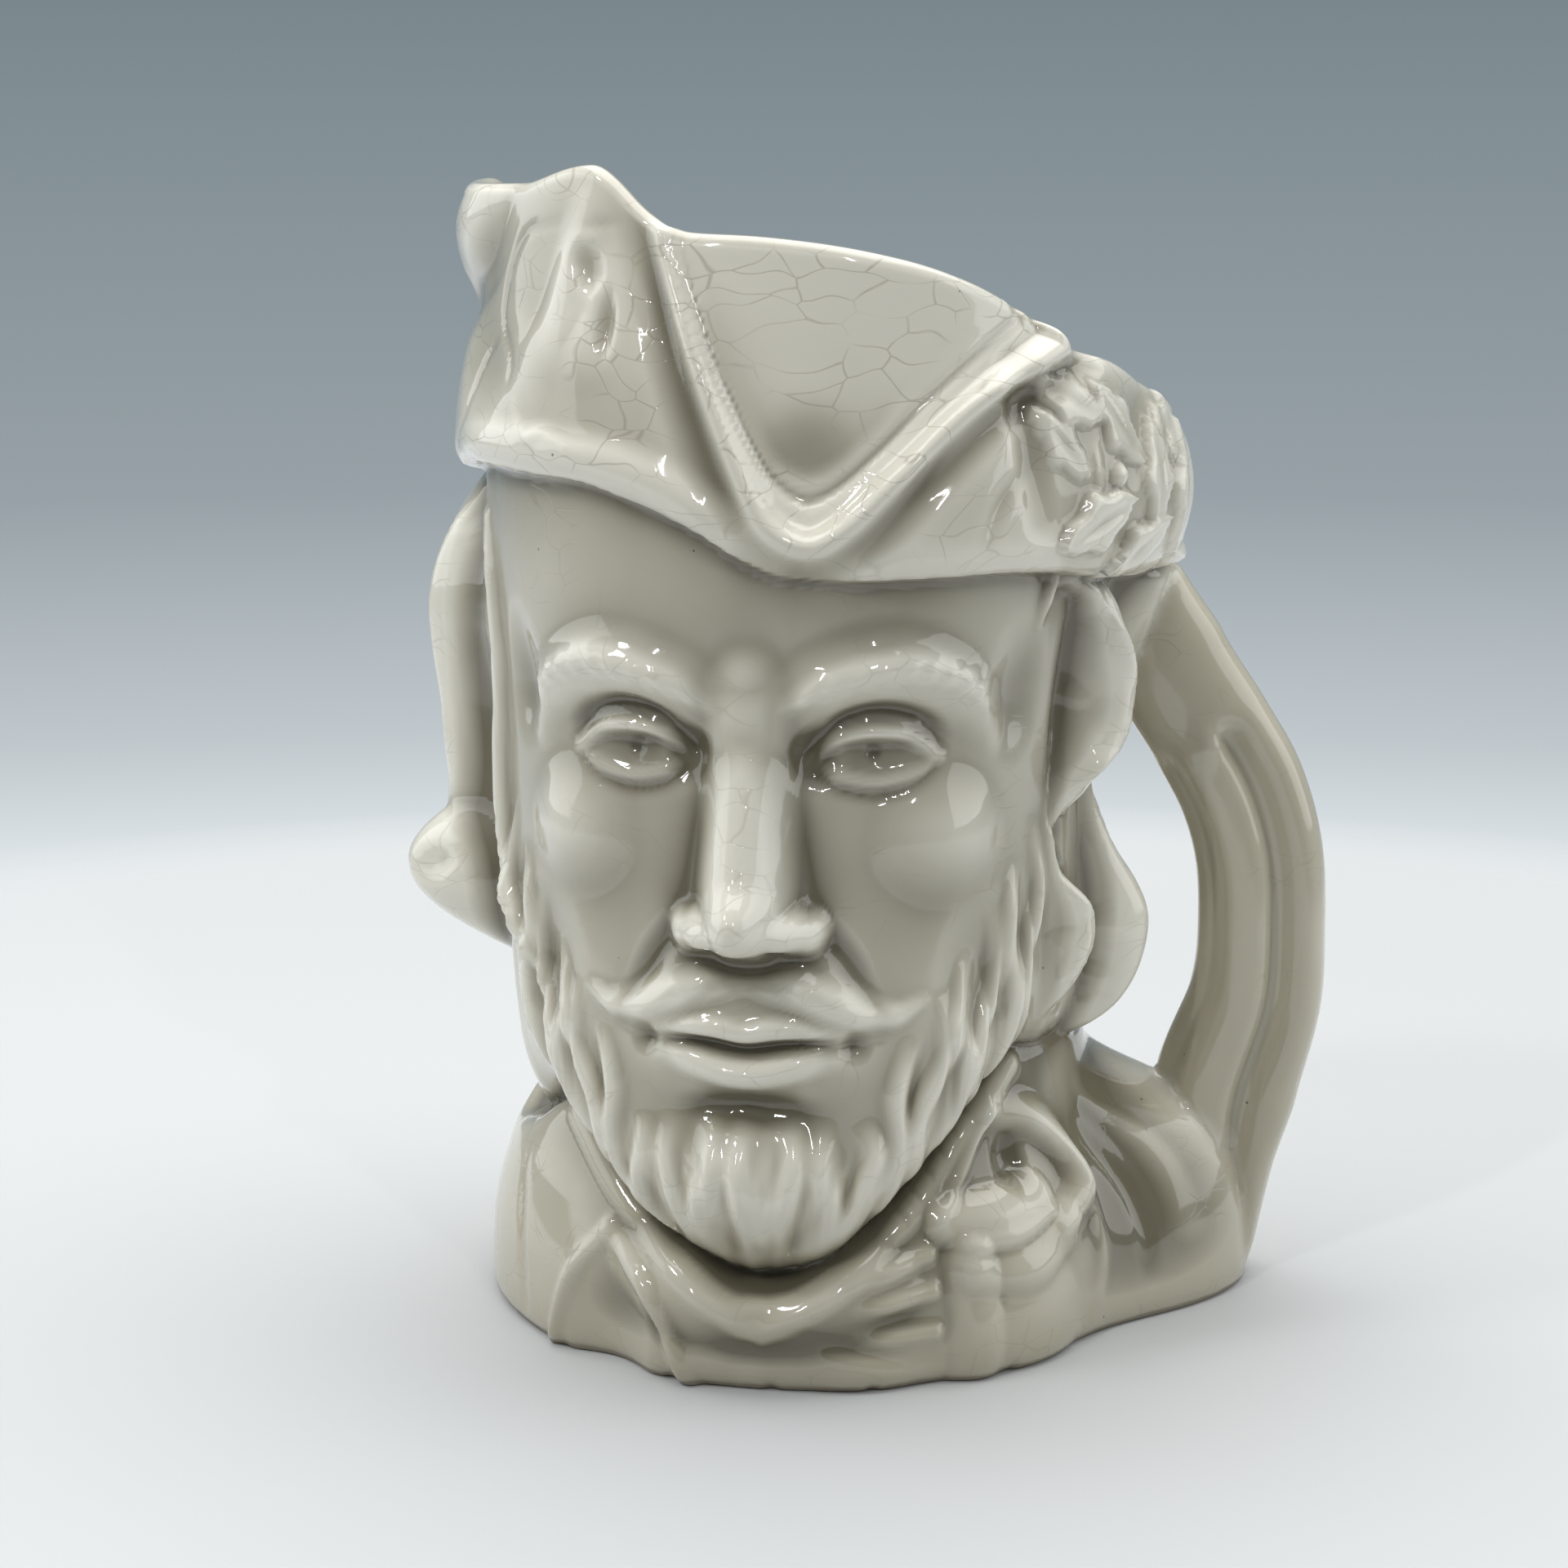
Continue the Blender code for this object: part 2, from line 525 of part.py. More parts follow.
def outside(turn, rise):
    """Radius of the jug's outside, in units, at each turn and rise."""
    s = Surface(turn, rise)
    found = soft_max(head(s), collar(s), 1.2)
    found = soft_max(found, np.full(turn.shape, 42.0), 2)
    found += sprig_stems(s)
    found = soft_max(found, hat(s) + sprig(s), 1.6)
    beside = np.abs(s.beside(HANDLE_TURN) - HANDLE_TURN)
    web_width = through(s.rise, [(0, 44), (20, 38), (45, 24)])
    web = 19.5 * np.clip(1 - (beside / web_width) ** 2, 0, 1) ** 3.4 * soft_step(-s.rise, -43, -29)
    web += s.ridge([(78, 38), (83, 28), (84, 14)], 4, (0.3, 1.2, 0.4))
    root = 10 * np.clip(1 - (beside / 18) ** 2, 0, 1) ** 1.2
    root *= soft_step(s.rise, 92, 118) * soft_step(-s.rise, -132, -122)
    return found + web + root


# The solid

def column_turns(count, crowd=0.34, middle=0):
    """Turns of the columns, in degrees: close together round the middle one, wider apart behind."""
    even = np.arange(count) / count * 2 * math.pi - math.pi
    return (np.degrees(even - crowd * np.sin(even)) + middle + 180) % 360 - 180


def ring_average(values, passes):
    """Values smoothed round the ring of columns."""
    for _ in range(passes):
        values = (np.roll(values, 1, 0) + 2 * values + np.roll(values, -1, 0)) / 4
    return values


def wall_rises(turns, top, rows):
    """Rises of each column's points, spaced by the length of the carved surface between them."""
    share = np.linspace(0, 1, rows)
    even = share[None, :] * top[:, None]
    radius = outside(np.repeat(turns[:, None], rows, 1), even)
    step = np.hypot(np.diff(radius, axis=1), np.diff(even, axis=1))
    length = np.hstack([np.zeros((len(turns), 1)), np.cumsum(step, 1)])
    length /= length[:, -1:]
    spaced = np.array([np.interp(share, 0.65 * l + 0.35 * share, e) for l, e in zip(length, even)])
    return ring_average(spaced, 6)


def inner_radius(turns, levels):
    """Radius of the hollow at each level: the carved outside, evened out, less the wall."""
    radius = outside(np.repeat(turns[:, None], len(levels), 1), np.repeat(levels[None, :], len(turns), 0))
    least = radius
    for _ in range(2):
        least = np.minimum(least, np.minimum(np.roll(least, 2, 0), np.roll(least, -2, 0)))
        padded = np.pad(least, ((0, 0), (1, 1)), mode="edge")
        least = np.minimum(padded[:, :-2], np.minimum(padded[:, 1:-1], padded[:, 2:]))
    least = ring_average(least, 10)
    for _ in range(2):
        padded = np.pad(least, ((0, 0), (1, 1)), mode="edge")
        least = (padded[:, :-2] + 2 * padded[:, 1:-1] + padded[:, 2:]) / 4
    return least - WALL / UNIT


def jug_rings(columns, rows, lip_rows, inner_rows):
    """Rings of (turn, radius, rise) in units, from the underside up the outside and down the inside."""
    turns = column_turns(columns)
    top = mouth_line(turns)
    rises = wall_rises(turns, top - LIP_THICKNESS / 2 / UNIT, rows)
    wall = outside(np.repeat(turns[:, None], rows, 1), rises)

    def ring(radius, rise):
        return np.broadcast_to(radius, turns.shape), np.broadcast_to(rise, turns.shape)

    foot = wall[:, 0]
    recess = FOOT_RECESS / UNIT
    rubbed = FOOT_RUBBED / UNIT
    rings = [
        ring(foot * 0.45, recess),
        ring(foot - FOOT_RING_WIDTH / UNIT - recess, recess),
        ring(foot - FOOT_RING_WIDTH / UNIT, -rubbed),
        ring(foot - 0.8 - rubbed, -rubbed),
    ]
    rises[:, 0] = 0.9
    rings += [ring(wall[:, k], rises[:, k]) for k in range(rows)]
    half = LIP_THICKNESS / 2 / UNIT
    for k in range(1, lip_rows + 1):
        swing = math.pi * k / (lip_rows + 1)
        rise = top - half + half * math.sin(swing)
        rings.append(ring(wall[:, -1] - half * (1 - math.cos(swing)), rise))
    floor = FLOOR_THICKNESS / UNIT
    levels = np.linspace(floor, 190, 48)
    inner = inner_radius(turns, levels)
    lip = wall[:, -1] - 2 * half
    for k in range(inner_rows):
        share = k / (inner_rows - 1)
        rise = (top - half) * (1 - share) + (floor + 3) * share
        within = np.array([np.interp(r, levels, row) for r, row in zip(rise, inner)])
        near_lip = soft_step((top - half) - rise, 0, 9)
        rings.append(ring(lip * (1 - near_lip) + within * near_lip, rise))
    last = rings[-1][0]
    rings += [ring(last - 1.0, floor + 1.0), ring(last - 3.4, floor), ring(last * 0.45, floor)]
    return turns, rings


def mesh_of_rings(name, turns, rings, under, inside):
    """A closed mesh from rings of radius and rise, with a point on the axis at each end."""
    angle = np.radians(turns)
    points = [(0, 0, under)]
    for radius, rise in rings:
        points += zip(radius * np.sin(angle), -radius * np.cos(angle), rise)
    points.append((0, 0, inside))
    count = len(turns)
    faces = []
    for k in range(count):
        after = (k + 1) % count
        faces.append((0, 1 + after, 1 + k))
        for level in range(len(rings) - 1):
            low, high = 1 + level * count, 1 + (level + 1) * count
            faces.append((low + k, low + after, high + after, high + k))
        last = 1 + (len(rings) - 1) * count
        faces.append((last + k, last + after, len(points) - 1))
    mesh = bpy.data.meshes.new(name)
    mesh.from_pydata([tuple(float(c) * UNIT for c in p) for p in points], [], faces)
    return mesh


# The handle

# Middle of the handle from its root to its foot, as (distance from the jug's axis, rise), and its half
# width there as a share of the handle's: it flares to meet the collar
HANDLE_PATH = [
    (55, 123), (58.5, 108), (66.5, 94.5), (72, 84.5), (75.2, 73.5), (76, 61), (75.2, 48), (70.6, 32.5),
    (69, 18), (67.6, 6),
]
HANDLE_SPREAD = [0.45, 0.95, 0.98, 1.0, 1.0, 1.0, 1.05, 1.14, 0.9, 0.8]
HANDLE_DEPTH = [(0, 0.45), (0.05, 0.8), (0.12, 0.95), (0.6, 1.0), (1, 1.05)]    # thickness along it
HANDLE_FOOT = [(0.93, 3.2), (0.78, 5.2), (0.5, 6.0)]    # rings that round its foot: size and drop


def handle_section(across, ribs):
    """Half thickness across the handle: a proud stave in the middle and a lower band on each side."""
    oval_edge = np.sqrt(np.clip(1 - across**2, 0, 1)) ** 0.8
    stave = np.clip(1 - ((across + 0.33) / 0.46) ** 4, 0, 1) ** 0.5
    band = np.clip(1 - ((across - 0.58) / 0.43) ** 2, 0, 1) ** 0.5
    ribbed = np.maximum(np.maximum(stave, 0.82 * band), 0.56 * oval_edge)
    return oval_edge * (1 - ribs) + np.minimum(ribbed, 1.25 * oval_edge) * ribs


def handle_rings(steps, per_point):
    """Closed rings along the handle, in units, ending in a rounded foot just off the table."""
    line = smooth_path(HANDLE_PATH, per_point)
    line[:, 1] += HANDLE_FOOT_LIFT / UNIT
    tangent = np.gradient(line, axis=0)
    tangent /= np.hypot(tangent[:, 0], tangent[:, 1])[:, None]
    share = np.linspace(0, 1, len(line))
    stations = np.linspace(0, 1, len(HANDLE_SPREAD))
    wide = HANDLE_WIDTH / 2 / UNIT * through(share, list(zip(stations, HANDLE_SPREAD)))
    thick = HANDLE_THICKNESS / 2 / UNIT * through(share, HANDLE_DEPTH)
    swing = np.arange(steps) / steps * 2 * math.pi
    across = np.cos(swing)
    rings = []
    for k, (point, along) in enumerate(zip(line, tangent)):
        ribs = float(soft_step(share[k], 0.2, 0.24))
        side = handle_section(across, ribs) * np.sign(np.sin(swing)) * thick[k]
        reach = point[0] - along[1] * across * wide[k]
        rise = point[1] + along[0] * across * wide[k]
        rings.append((reach, rise, side))
    reach, rise, side = rings[-1]
    for shrink, drop in HANDLE_FOOT:
        rings.append((
            line[-1][0] + (reach - line[-1][0]) * shrink,
            line[-1][1] + (rise - line[-1][1]) * shrink * (1 - drop / 6) - drop,
            side * shrink,
        ))
    return rings


def make_handle(steps=44, per_point=4):
    turn = math.radians(HANDLE_TURN)
    outward = np.array([math.sin(turn), -math.cos(turn)])
    sideways = np.array([math.cos(turn), math.sin(turn)])
    points, faces = [], []
    rings = handle_rings(steps, per_point)
    for reach, rise, side in rings:
        for r, z, t in zip(reach, rise, side):
            x, y = outward * r + sideways * t
            points.append((x * UNIT, y * UNIT, z * UNIT))
    for level in range(len(rings) - 1):
        low, high = level * steps, (level + 1) * steps
        for k in range(steps):
            after = (k + 1) % steps
            faces.append((low + k, low + after, high + after, high + k))
    faces.append(tuple(range(steps))[::-1])
    faces.append(tuple(range((len(rings) - 1) * steps, len(rings) * steps)))
    mesh = bpy.data.meshes.new("handle")
    mesh.from_pydata(points, [], faces)
    work = bmesh.new()
    work.from_mesh(mesh)
    bmesh.ops.recalc_face_normals(work, faces=work.faces[:])
    work.to_mesh(mesh)
    work.free()
    return mesh


# The scene

def glaze():
    """Ivory glaze over white earthenware."""
    material = bpy.data.materials.new("ivory_glaze")
    material.use_nodes = True
    shader = material.node_tree.nodes["Principled BSDF"]
    shader.inputs["Base Color"].default_value = (0.66, 0.62, 0.54, 1)
    shader.inputs["Roughness"].default_value = 0.12
    shader.inputs["Metallic"].default_value = 0.0
    return material


def add_object(name, mesh):
    found = bpy.data.objects.new(name, mesh)
    bpy.context.scene.collection.objects.link(found)
    return found


def table_block():
    """What is below the table: the foot is rubbed flat on it."""
    side = 2 * JUG_HEIGHT
    work = bmesh.new()
    bmesh.ops.create_cube(work, size=side)
    bmesh.ops.translate(work, verts=work.verts[:], vec=(0, 0, -side / 2))
    mesh = bpy.data.meshes.new("table")
    work.to_mesh(mesh)
    work.free()
    block = add_object("table_to_rub_on", mesh)
    block.hide_render = True
    block.display_type = "WIRE"
    return block


def centre_on_base(meshes):
    """Moves the meshes so that the middle of their footprint is the origin."""
    points = np.vstack([[v.co[:] for v in mesh.vertices] for mesh in meshes])
    middle = (points.min(0) + points.max(0)) / 2
    for mesh in meshes:
        for vertex in mesh.vertices:
            vertex.co.x -= middle[0]
            vertex.co.y -= middle[1]


def main():
    for old in list(bpy.data.objects):
        bpy.data.objects.remove(old)
    turns, rings = jug_rings(COLUMNS, WALL_ROWS, LIP_ROWS, INNER_ROWS)
    body = mesh_of_rings("jug", turns, rings, FOOT_RECESS / UNIT, FLOOR_THICKNESS / UNIT)
    handle_mesh = make_handle()
    centre_on_base([body, handle_mesh])
    jug = add_object("jug", body)
    handle = add_object("handle_to_join", handle_mesh)
    handle.hide_render = True
    handle.display_type = "WIRE"
    join = jug.modifiers.new("join_handle", "BOOLEAN")
    join.operation = "UNION"
    join.solver = "EXACT"
    join.object = handle
    fewer = jug.modifiers.new("fewer_faces", "DECIMATE")
    fewer.ratio = SOLID_TRIANGLES / (2 * len(body.polygons))
    rub = jug.modifiers.new("rub_foot", "BOOLEAN")
    rub.operation = "DIFFERENCE"
    rub.solver = "EXACT"
    rub.object = table_block()
    body.materials.append(glaze())
    body.shade_smooth()


main()
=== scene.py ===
"""The looks of a slip-cast character jug: carved shell and handle, ivory glaze, studio and camera.

The shell is a slab of clay rolled round the jug's axis. Its outside is carved as a radius at each turn
round the axis, in degrees from the middle of the face towards the handle, and each rise above the table.
One unit of the carving is 1/190 of the jug's height, so about a millimetre.
"""
import math

import bpy
import numpy as np
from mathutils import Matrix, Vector
from mathutils.kdtree import KDTree


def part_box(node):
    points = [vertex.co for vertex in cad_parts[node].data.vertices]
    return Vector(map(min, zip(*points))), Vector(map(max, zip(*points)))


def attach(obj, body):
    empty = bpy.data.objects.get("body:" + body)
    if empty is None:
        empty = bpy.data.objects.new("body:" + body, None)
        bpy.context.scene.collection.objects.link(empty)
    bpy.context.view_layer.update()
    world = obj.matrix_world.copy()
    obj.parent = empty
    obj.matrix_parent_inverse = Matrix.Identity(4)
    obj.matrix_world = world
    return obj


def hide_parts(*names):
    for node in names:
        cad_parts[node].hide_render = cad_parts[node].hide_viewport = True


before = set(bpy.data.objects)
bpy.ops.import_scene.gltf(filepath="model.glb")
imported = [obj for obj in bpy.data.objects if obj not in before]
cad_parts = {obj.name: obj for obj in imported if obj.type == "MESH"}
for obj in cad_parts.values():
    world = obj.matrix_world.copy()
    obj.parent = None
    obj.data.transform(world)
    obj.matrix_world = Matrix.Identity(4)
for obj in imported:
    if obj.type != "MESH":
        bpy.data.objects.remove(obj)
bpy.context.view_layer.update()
JUG_LOW, JUG_HIGH = (Vector(corner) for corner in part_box("jug"))

# Sizes that the jug has in CAD
JUG_HEIGHT = JUG_HIGH.z - JUG_LOW.z
WALL = 0.0045
LIP_THICKNESS = 0.0042
FLOOR_THICKNESS = 0.0055
FOOT_RING_WIDTH = 0.008
FOOT_RECESS = 0.0015
HANDLE_WIDTH = 0.0214
HANDLE_THICKNESS = 0.0185
HANDLE_FOOT_LIFT = 0.0008

UNIT = JUG_HEIGHT / 190
DEGREE = math.radians(1) * 60  # units along the surface for a degree of turn

# Clay mesh
COLUMNS = 384
CROWD = 0.46  # how closely the columns crowd towards the front
FRONT = 14  # turn round which they crowd, in degrees
FOOT_ROWS = 7  # rings of the recess and the foot ring, below the wall
WALL_ROWS = 204
FOLLOW = 0.65  # how far the wall's rows follow the carving, not the rise
LIP_ROWS = 7
INNER_ROWS = 22
INNER_LEVELS = 48  # levels at which the hollow's radius is worked out
HANDLE_SIDES = 64
HANDLE_STEPS = 9  # rings between two points of the handle's path
SEAM = 1e-6  # metres: points nearer than this are one
SLIP_REACH = 0.0016  # metres from the handle's seam that the slip rounds
HANDLE_CLEAR = 1.5 * UNIT  # from here on a point off the shell is all handle

# Places on the face, by the rule of thirds
CHIN = 30.0
BROW = 112.0
NOSE_BASE = (CHIN + BROW) / 2
MOUTH = NOSE_BASE - (NOSE_BASE - CHIN) / 3
EYE = BROW - 9.0
EYE_TURN = 19.0

HANDLE_TURN = 101.0  # side on which the handle stands, in degrees
LEAST_RADIUS = 42.0  # the carving goes no deeper than this, in units


# Curves and soft shapes

def soft_step(value, low, high):
    """0 below low, 1 above high, and smooth between."""
    t = np.clip((value - low) / (high - low), 0, 1)
    return t * t * (3 - 2 * t)


def soft_max(a, b, blend):
    """The larger of two heights, with a fillet where they meet."""
    h = np.clip(0.5 + 0.5 * (a - b) / blend, 0, 1)
    return b + (a - b) * h + blend * h * (1 - h)


def swell(share, full=2.0):
    """1 in the middle, and smoothly down to 0 where the share is 1 or more on either side."""
    return np.clip(1 - share**2, 0, 1) ** full


def through(x, stations):
    """A smooth curve through stations (x, y) that never overshoots them."""
    xs = np.array([s[0] for s in stations], float)
    ys = np.array([s[1] for s in stations], float)
    width = np.diff(xs)
    rate = np.diff(ys) / width
    slope = np.zeros(len(xs))
    same = rate[:-1] * rate[1:] > 0
    slope[1:-1][same] = 2 / (1 / rate[:-1][same] + 1 / rate[1:][same])
    slope[0], slope[-1] = rate[0], rate[-1]
    x = np.clip(x, xs[0], xs[-1])
    i = np.clip(np.searchsorted(xs, x, side="right") - 1, 0, len(width) - 1)
    t = (x - xs[i]) / width[i]
    return (
        ys[i] * (1 + 2 * t) * (1 - t) ** 2
        + ys[i + 1] * t * t * (3 - 2 * t)
        + width[i] * t * (1 - t) * (slope[i] * (1 - t) - slope[i + 1] * t)
    )


def spread(share, sizes):
    """One size, or a smooth run of sizes spread evenly from share 0 to share 1."""
    if np.size(sizes) == 1:
        return np.full(np.shape(share), float(np.max(sizes)))
    return through(share, list(zip(np.linspace(0, 1, np.size(sizes)), sizes)))


def around(turn, stations):
    """A smooth closed curve through stations (turn, value), for turns from -180 to 180."""
    ends = [(t - 360, v) for t, v in stations[-2:]] + list(stations)
    return through(turn, ends + [(t + 360, v) for t, v in stations[:2]])


def smooth_path(points, steps=7):
    """Points along a smooth curve that runs through the given ones."""
    p = np.array(points, float)
    p = np.vstack([2 * p[0] - p[1], p, 2 * p[-1] - p[-2]])
    t = (np.arange(steps) / steps)[:, None]
    found = []
    for a, b, c, d in zip(p, p[1:], p[2:], p[3:]):
        bend = (2 * a - 5 * b + 4 * c - d) * t**2 + (3 * b - a - 3 * c + d) * t**3
        found.append(0.5 * (2 * b + (c - a) * t + bend))
    return np.vstack(found + [p[-2:-1]])


class Surface:
    """The points of the jug's outside, a column of them at each turn, and the tools that carve them."""

    def __init__(self, turns, rise):
        self.turn = np.broadcast_to(turns[:, None], rise.shape)
        self.rise = rise

    def flat(self):
        return np.zeros(self.turn.shape)

    def beside(self, turn):
        """Turn of every point, counted so that it doesn't jump near the given turn."""
        return (self.turn - turn + 180) % 360 - 180 + turn

    def along(self, path, reach):
        """Points within reach of a path, their distance to it (minus on its right) and share along it."""
        line = smooth_path(path)
        middle = (line[:, 0].min() + line[:, 0].max()) / 2
        turn = self.beside(middle)
        low, high = line.min(0), line.max(0)
        near = np.nonzero(
            (turn > low[0] - reach / DEGREE) & (turn < high[0] + reach / DEGREE)
            & (self.rise > low[1] - reach) & (self.rise < high[1] + reach)
        )
        px, py = turn[near] * DEGREE, self.rise[near]
        line = line * np.array([DEGREE, 1.0])
        best = np.full(px.shape, 1e9)
        side, share = np.zeros(px.shape), np.zeros(px.shape)
        count = len(line) - 1
        for k in range(count):
            (ax, ay), (bx, by) = line[k], line[k + 1]
            dx, dy = bx - ax, by - ay
            t = np.clip(((px - ax) * dx + (py - ay) * dy) / (dx * dx + dy * dy + 1e-12), 0, 1)
            away = np.hypot(px - ax - t * dx, py - ay - t * dy)
            closer = away < best
            best[closer] = away[closer]
            side[closer] = np.sign(dx * (py - ay) - dy * (px - ax))[closer]
            share[closer] = ((k + t) / count)[closer]
        return near, best * np.where(side < 0, -1.0, 1.0), share

    def ridge(self, path, half_width, height, full=2.0):
        """A rounded roll of clay along a path. Width and height may change along it."""
        wide = float(np.max(half_width))
        near, off, share = self.along(path, wide)
        w, h = spread(share, half_width), spread(share, height)
        found = self.flat()
        found[near] = h * swell(off / w, full)
        return found

    def dome(self, at, size, height, full=2.0, tilt=0.0):
        """An oval swelling, or a hollow where the height is negative."""
        x = (self.beside(at[0]) - at[0]) * DEGREE
        y = self.rise - at[1]
        c, s = math.cos(math.radians(tilt)), math.sin(math.radians(tilt))
        q = ((x * c + y * s) / size[0]) ** 2 + ((y * c - x * s) / size[1]) ** 2
        return height * np.clip(1 - q, 0, 1) ** full

    def ridges(self, strokes):
        """Several rolls together, each given as path, half width and height."""
        return sum(self.ridge(*stroke) for stroke in strokes)

    def domes(self, strokes):
        """Several swellings and hollows together, each given as place, size and height."""
        return sum(self.dome(*stroke) for stroke in strokes)

    def beyond(self, path, reach=75):
        """Distance of every point past a path, minus before it."""
        near, off, _ = self.along(path, reach)
        found = self.flat() - reach
        found[near] = off
        return found

    def both(self, tool, path, *sizes, **more):
        """The same stroke on both sides of the face."""
        single = isinstance(path[0], (int, float))
        mirrored = (-path[0], path[1]) if single else [(-turn, rise) for turn, rise in path]
        return tool(path, *sizes, **more) + tool(mirrored, *sizes, **more)


# The head

def oval(turn, half_width, depth, squareness):
    """Radius of an oval section with the given half width and depth."""
    t = np.radians(turn)
    return (
        np.abs(np.sin(t) / half_width) ** squareness + np.abs(np.cos(t) / depth) ** squareness
    ) ** (-1 / squareness)


def turned(s, left, right, front, back, squareness=2.15):
    """An oval form, whose reach to each side is given as stations (rise, reach)."""
    half_width = np.where(s.turn < 0, through(s.rise, left), through(s.rise, right))
    depth = np.where(np.abs(s.turn) < 90, through(s.rise, front), through(s.rise, back))
    return oval(s.turn, half_width, depth, squareness)


def plain_head(s):
    """The head without features: skin at the front, skull at the back."""
    return turned(
        s,
        left=[(0, 42), (35, 46.5), (60, 49.5), (85, 50.5), (110, 51), (135, 52.5), (190, 52)],
        right=[(0, 42), (35, 44), (60, 46), (85, 45.5), (110, 47), (135, 50), (190, 50)],
        front=[
            (0, 48), (18, 58), (32, 61), (46, 60), (60, 60), (85, 58.5), (104, 58), (118, 60.5), (140, 62),
            (190, 58),
        ],
        back=[(0, 44), (45, 47), (70, 51), (100, 55), (130, 56), (190, 50)],
    )


def nose(s):
    bridge = s.ridge(
        [(0, 113), (0, 104), (0, 92), (0, 81), (0, 77)], (7, 8, 9, 10, 9.5), (1, 5, 9.5, 13, 13.5), 1.8
    )
    tip = s.dome((0, 79), (7, 6.5), 3.6)
    wings = s.both(s.dome, (8.0, 75.6), (5.2, 4.8), 6.0, full=1.3)
    nostrils = s.both(s.dome, (4.2, 72.6), (2.8, 1.8), -2.0)
    return (bridge + tip + wings + nostrils) * soft_step(s.rise, NOSE_BASE - 1.5, NOSE_BASE + 3.5)


def eyes(s):
    socket = s.both(s.dome, (EYE_TURN, EYE), (14, 9.5), -5.5)
    corner = s.both(s.dome, (9.5, EYE - 1), (5, 6), -2.0)
    ball = s.both(s.dome, (EYE_TURN + 0.5, EYE - 0.6), (10.8, 6.6), 4.0, full=1.0)
    lid = s.both(s.dome, (EYE_TURN + 0.5, EYE + 3.4), (10, 3.6), 1.3)
    upper = s.both(
        s.ridge,
        [(9.4, EYE - 1.8), (13, EYE + 1.5), (18.5, EYE + 2.8), (24.5, EYE + 1.8), (29.8, EYE - 1.6)],
        1.7, (0.5, 1.5, 1.8, 1.6, 0.7),
    )
    lower = s.both(
        s.ridge,
        [(9.4, EYE - 2), (14, EYE - 3.9), (19.5, EYE - 4.8), (25, EYE - 3.8), (29.8, EYE - 1.8)],
        1.6, (0.4, 0.9, 1.1, 0.9, 0.4),
    )
    crease = s.both(
        s.ridge, [(10.5, EYE + 2.4), (14, EYE + 5.6), (20, EYE + 7), (27, EYE + 5), (32, EYE + 0.8)],
        1.5, (0, -1, -1.2, -1, 0),
    )
    pupil = s.both(s.dome, (EYE_TURN, EYE - 0.6), (1.9, 1.9), -0.8)
    return socket + corner + ball + lid + upper + lower + crease + pupil


def brows(s):
    bone = s.both(
        s.ridge, [(4, 108), (12, 113), (22, 115), (33, 111), (40, 105)],
        (6, 8, 8.5, 8, 6), (1.2, 2.5, 2.8, 2.4, 0.8),
    )
    hair = s.both(
        s.ridge, [(6, 110.5), (13, 114.5), (23, 116.5), (32, 114), (38, 109)],
        (2.4, 3.6, 3.6, 3, 1.6), (0.5, 1.1, 1.2, 1.0, 0.3),
    )
    return bone + hair + s.dome((0, 113), (7, 8), 1.5)


def mouth(s):
    muzzle = s.dome((0, 60), (25, 17), 3.4)
    parting = s.ridge(
        [(-15, MOUTH), (-8, MOUTH + 0.9), (0, MOUTH), (8, MOUTH + 0.9), (15, MOUTH)],
        1.9, (-0.6, -2.2, -2.4, -2.2, -0.6),
    )
    upper = s.ridge(
        [(-13, MOUTH + 1.4), (-5, MOUTH + 3.6), (0, MOUTH + 2.8), (5, MOUTH + 3.6), (13, MOUTH + 1.4)],
        2.7, (0.4, 1.7, 1.5, 1.7, 0.4),
    )
    lower = s.ridge([(-12, MOUTH - 1.6), (0, MOUTH - 4.2), (12, MOUTH - 1.6)], 3.5, (0.5, 2.8, 0.5))
    corners = s.both(s.dome, (16, MOUTH), (3.4, 3.4), -1.4)
    under = s.dome((0, MOUTH - 10), (13, 4.6), -2.4)
    folds = s.both(s.ridge, [(9.5, 78), (15, 70), (19.5, 60)], 3.4, (-0.5, -1.5, -0.6))
    return muzzle + parting + upper + lower + corners + under + folds


def cheeks(s):
    bones = s.both(s.dome, (31, 89), (15, 12), 3.2)
    hollows = s.both(s.dome, (39, 66), (12, 14), -1.6)
    temples = s.both(s.dome, (46, 110), (9, 13), -1.8)
    chin = s.dome((0, 36), (17, 13), 4.2)
    return bones + hollows + temples + chin


def beard(s):
    """Moustache, chin tuft and the waved strands along both jaws."""
    found = s.both(
        s.ridge, [(1.2, 67.5), (7, 67), (14, 64), (21, 61.5), (27, 63.5)],
        (2.4, 3.9, 4.2, 3.2, 1.6), (0.8, 2.2, 2.3, 1.7, 0.4),
    )
    for k in range(-3, 4):
        start, end = k * 5.6, k * 4.0
        sway = 1.2 if k % 2 else -0.8
        found += s.ridge(
            [(start, 48 - abs(k)), (start * 1.06 + sway, 39), (start - sway, 29), (end, 20.5 + 0.6 * abs(k))],
            3.3, (0, 1.7, 2.0, 0.8),
        )
    for k in range(6):
        top = (25 + 5.6 * k, 58 + 6.2 * k)
        low = (21 + 6.0 * k, 30 + 4.3 * k)
        bend = 1.8 if k % 2 else -1.2
        path = [
            top,
            (top[0] * 0.66 + low[0] * 0.34 + bend, top[1] * 0.66 + low[1] * 0.34),
            (top[0] * 0.33 + low[0] * 0.67 - bend, top[1] * 0.33 + low[1] * 0.67),
            low,
        ]
        found += s.both(s.ridge, path, 3.0, (0, 1.9, 1.9, 0.8))
    return found


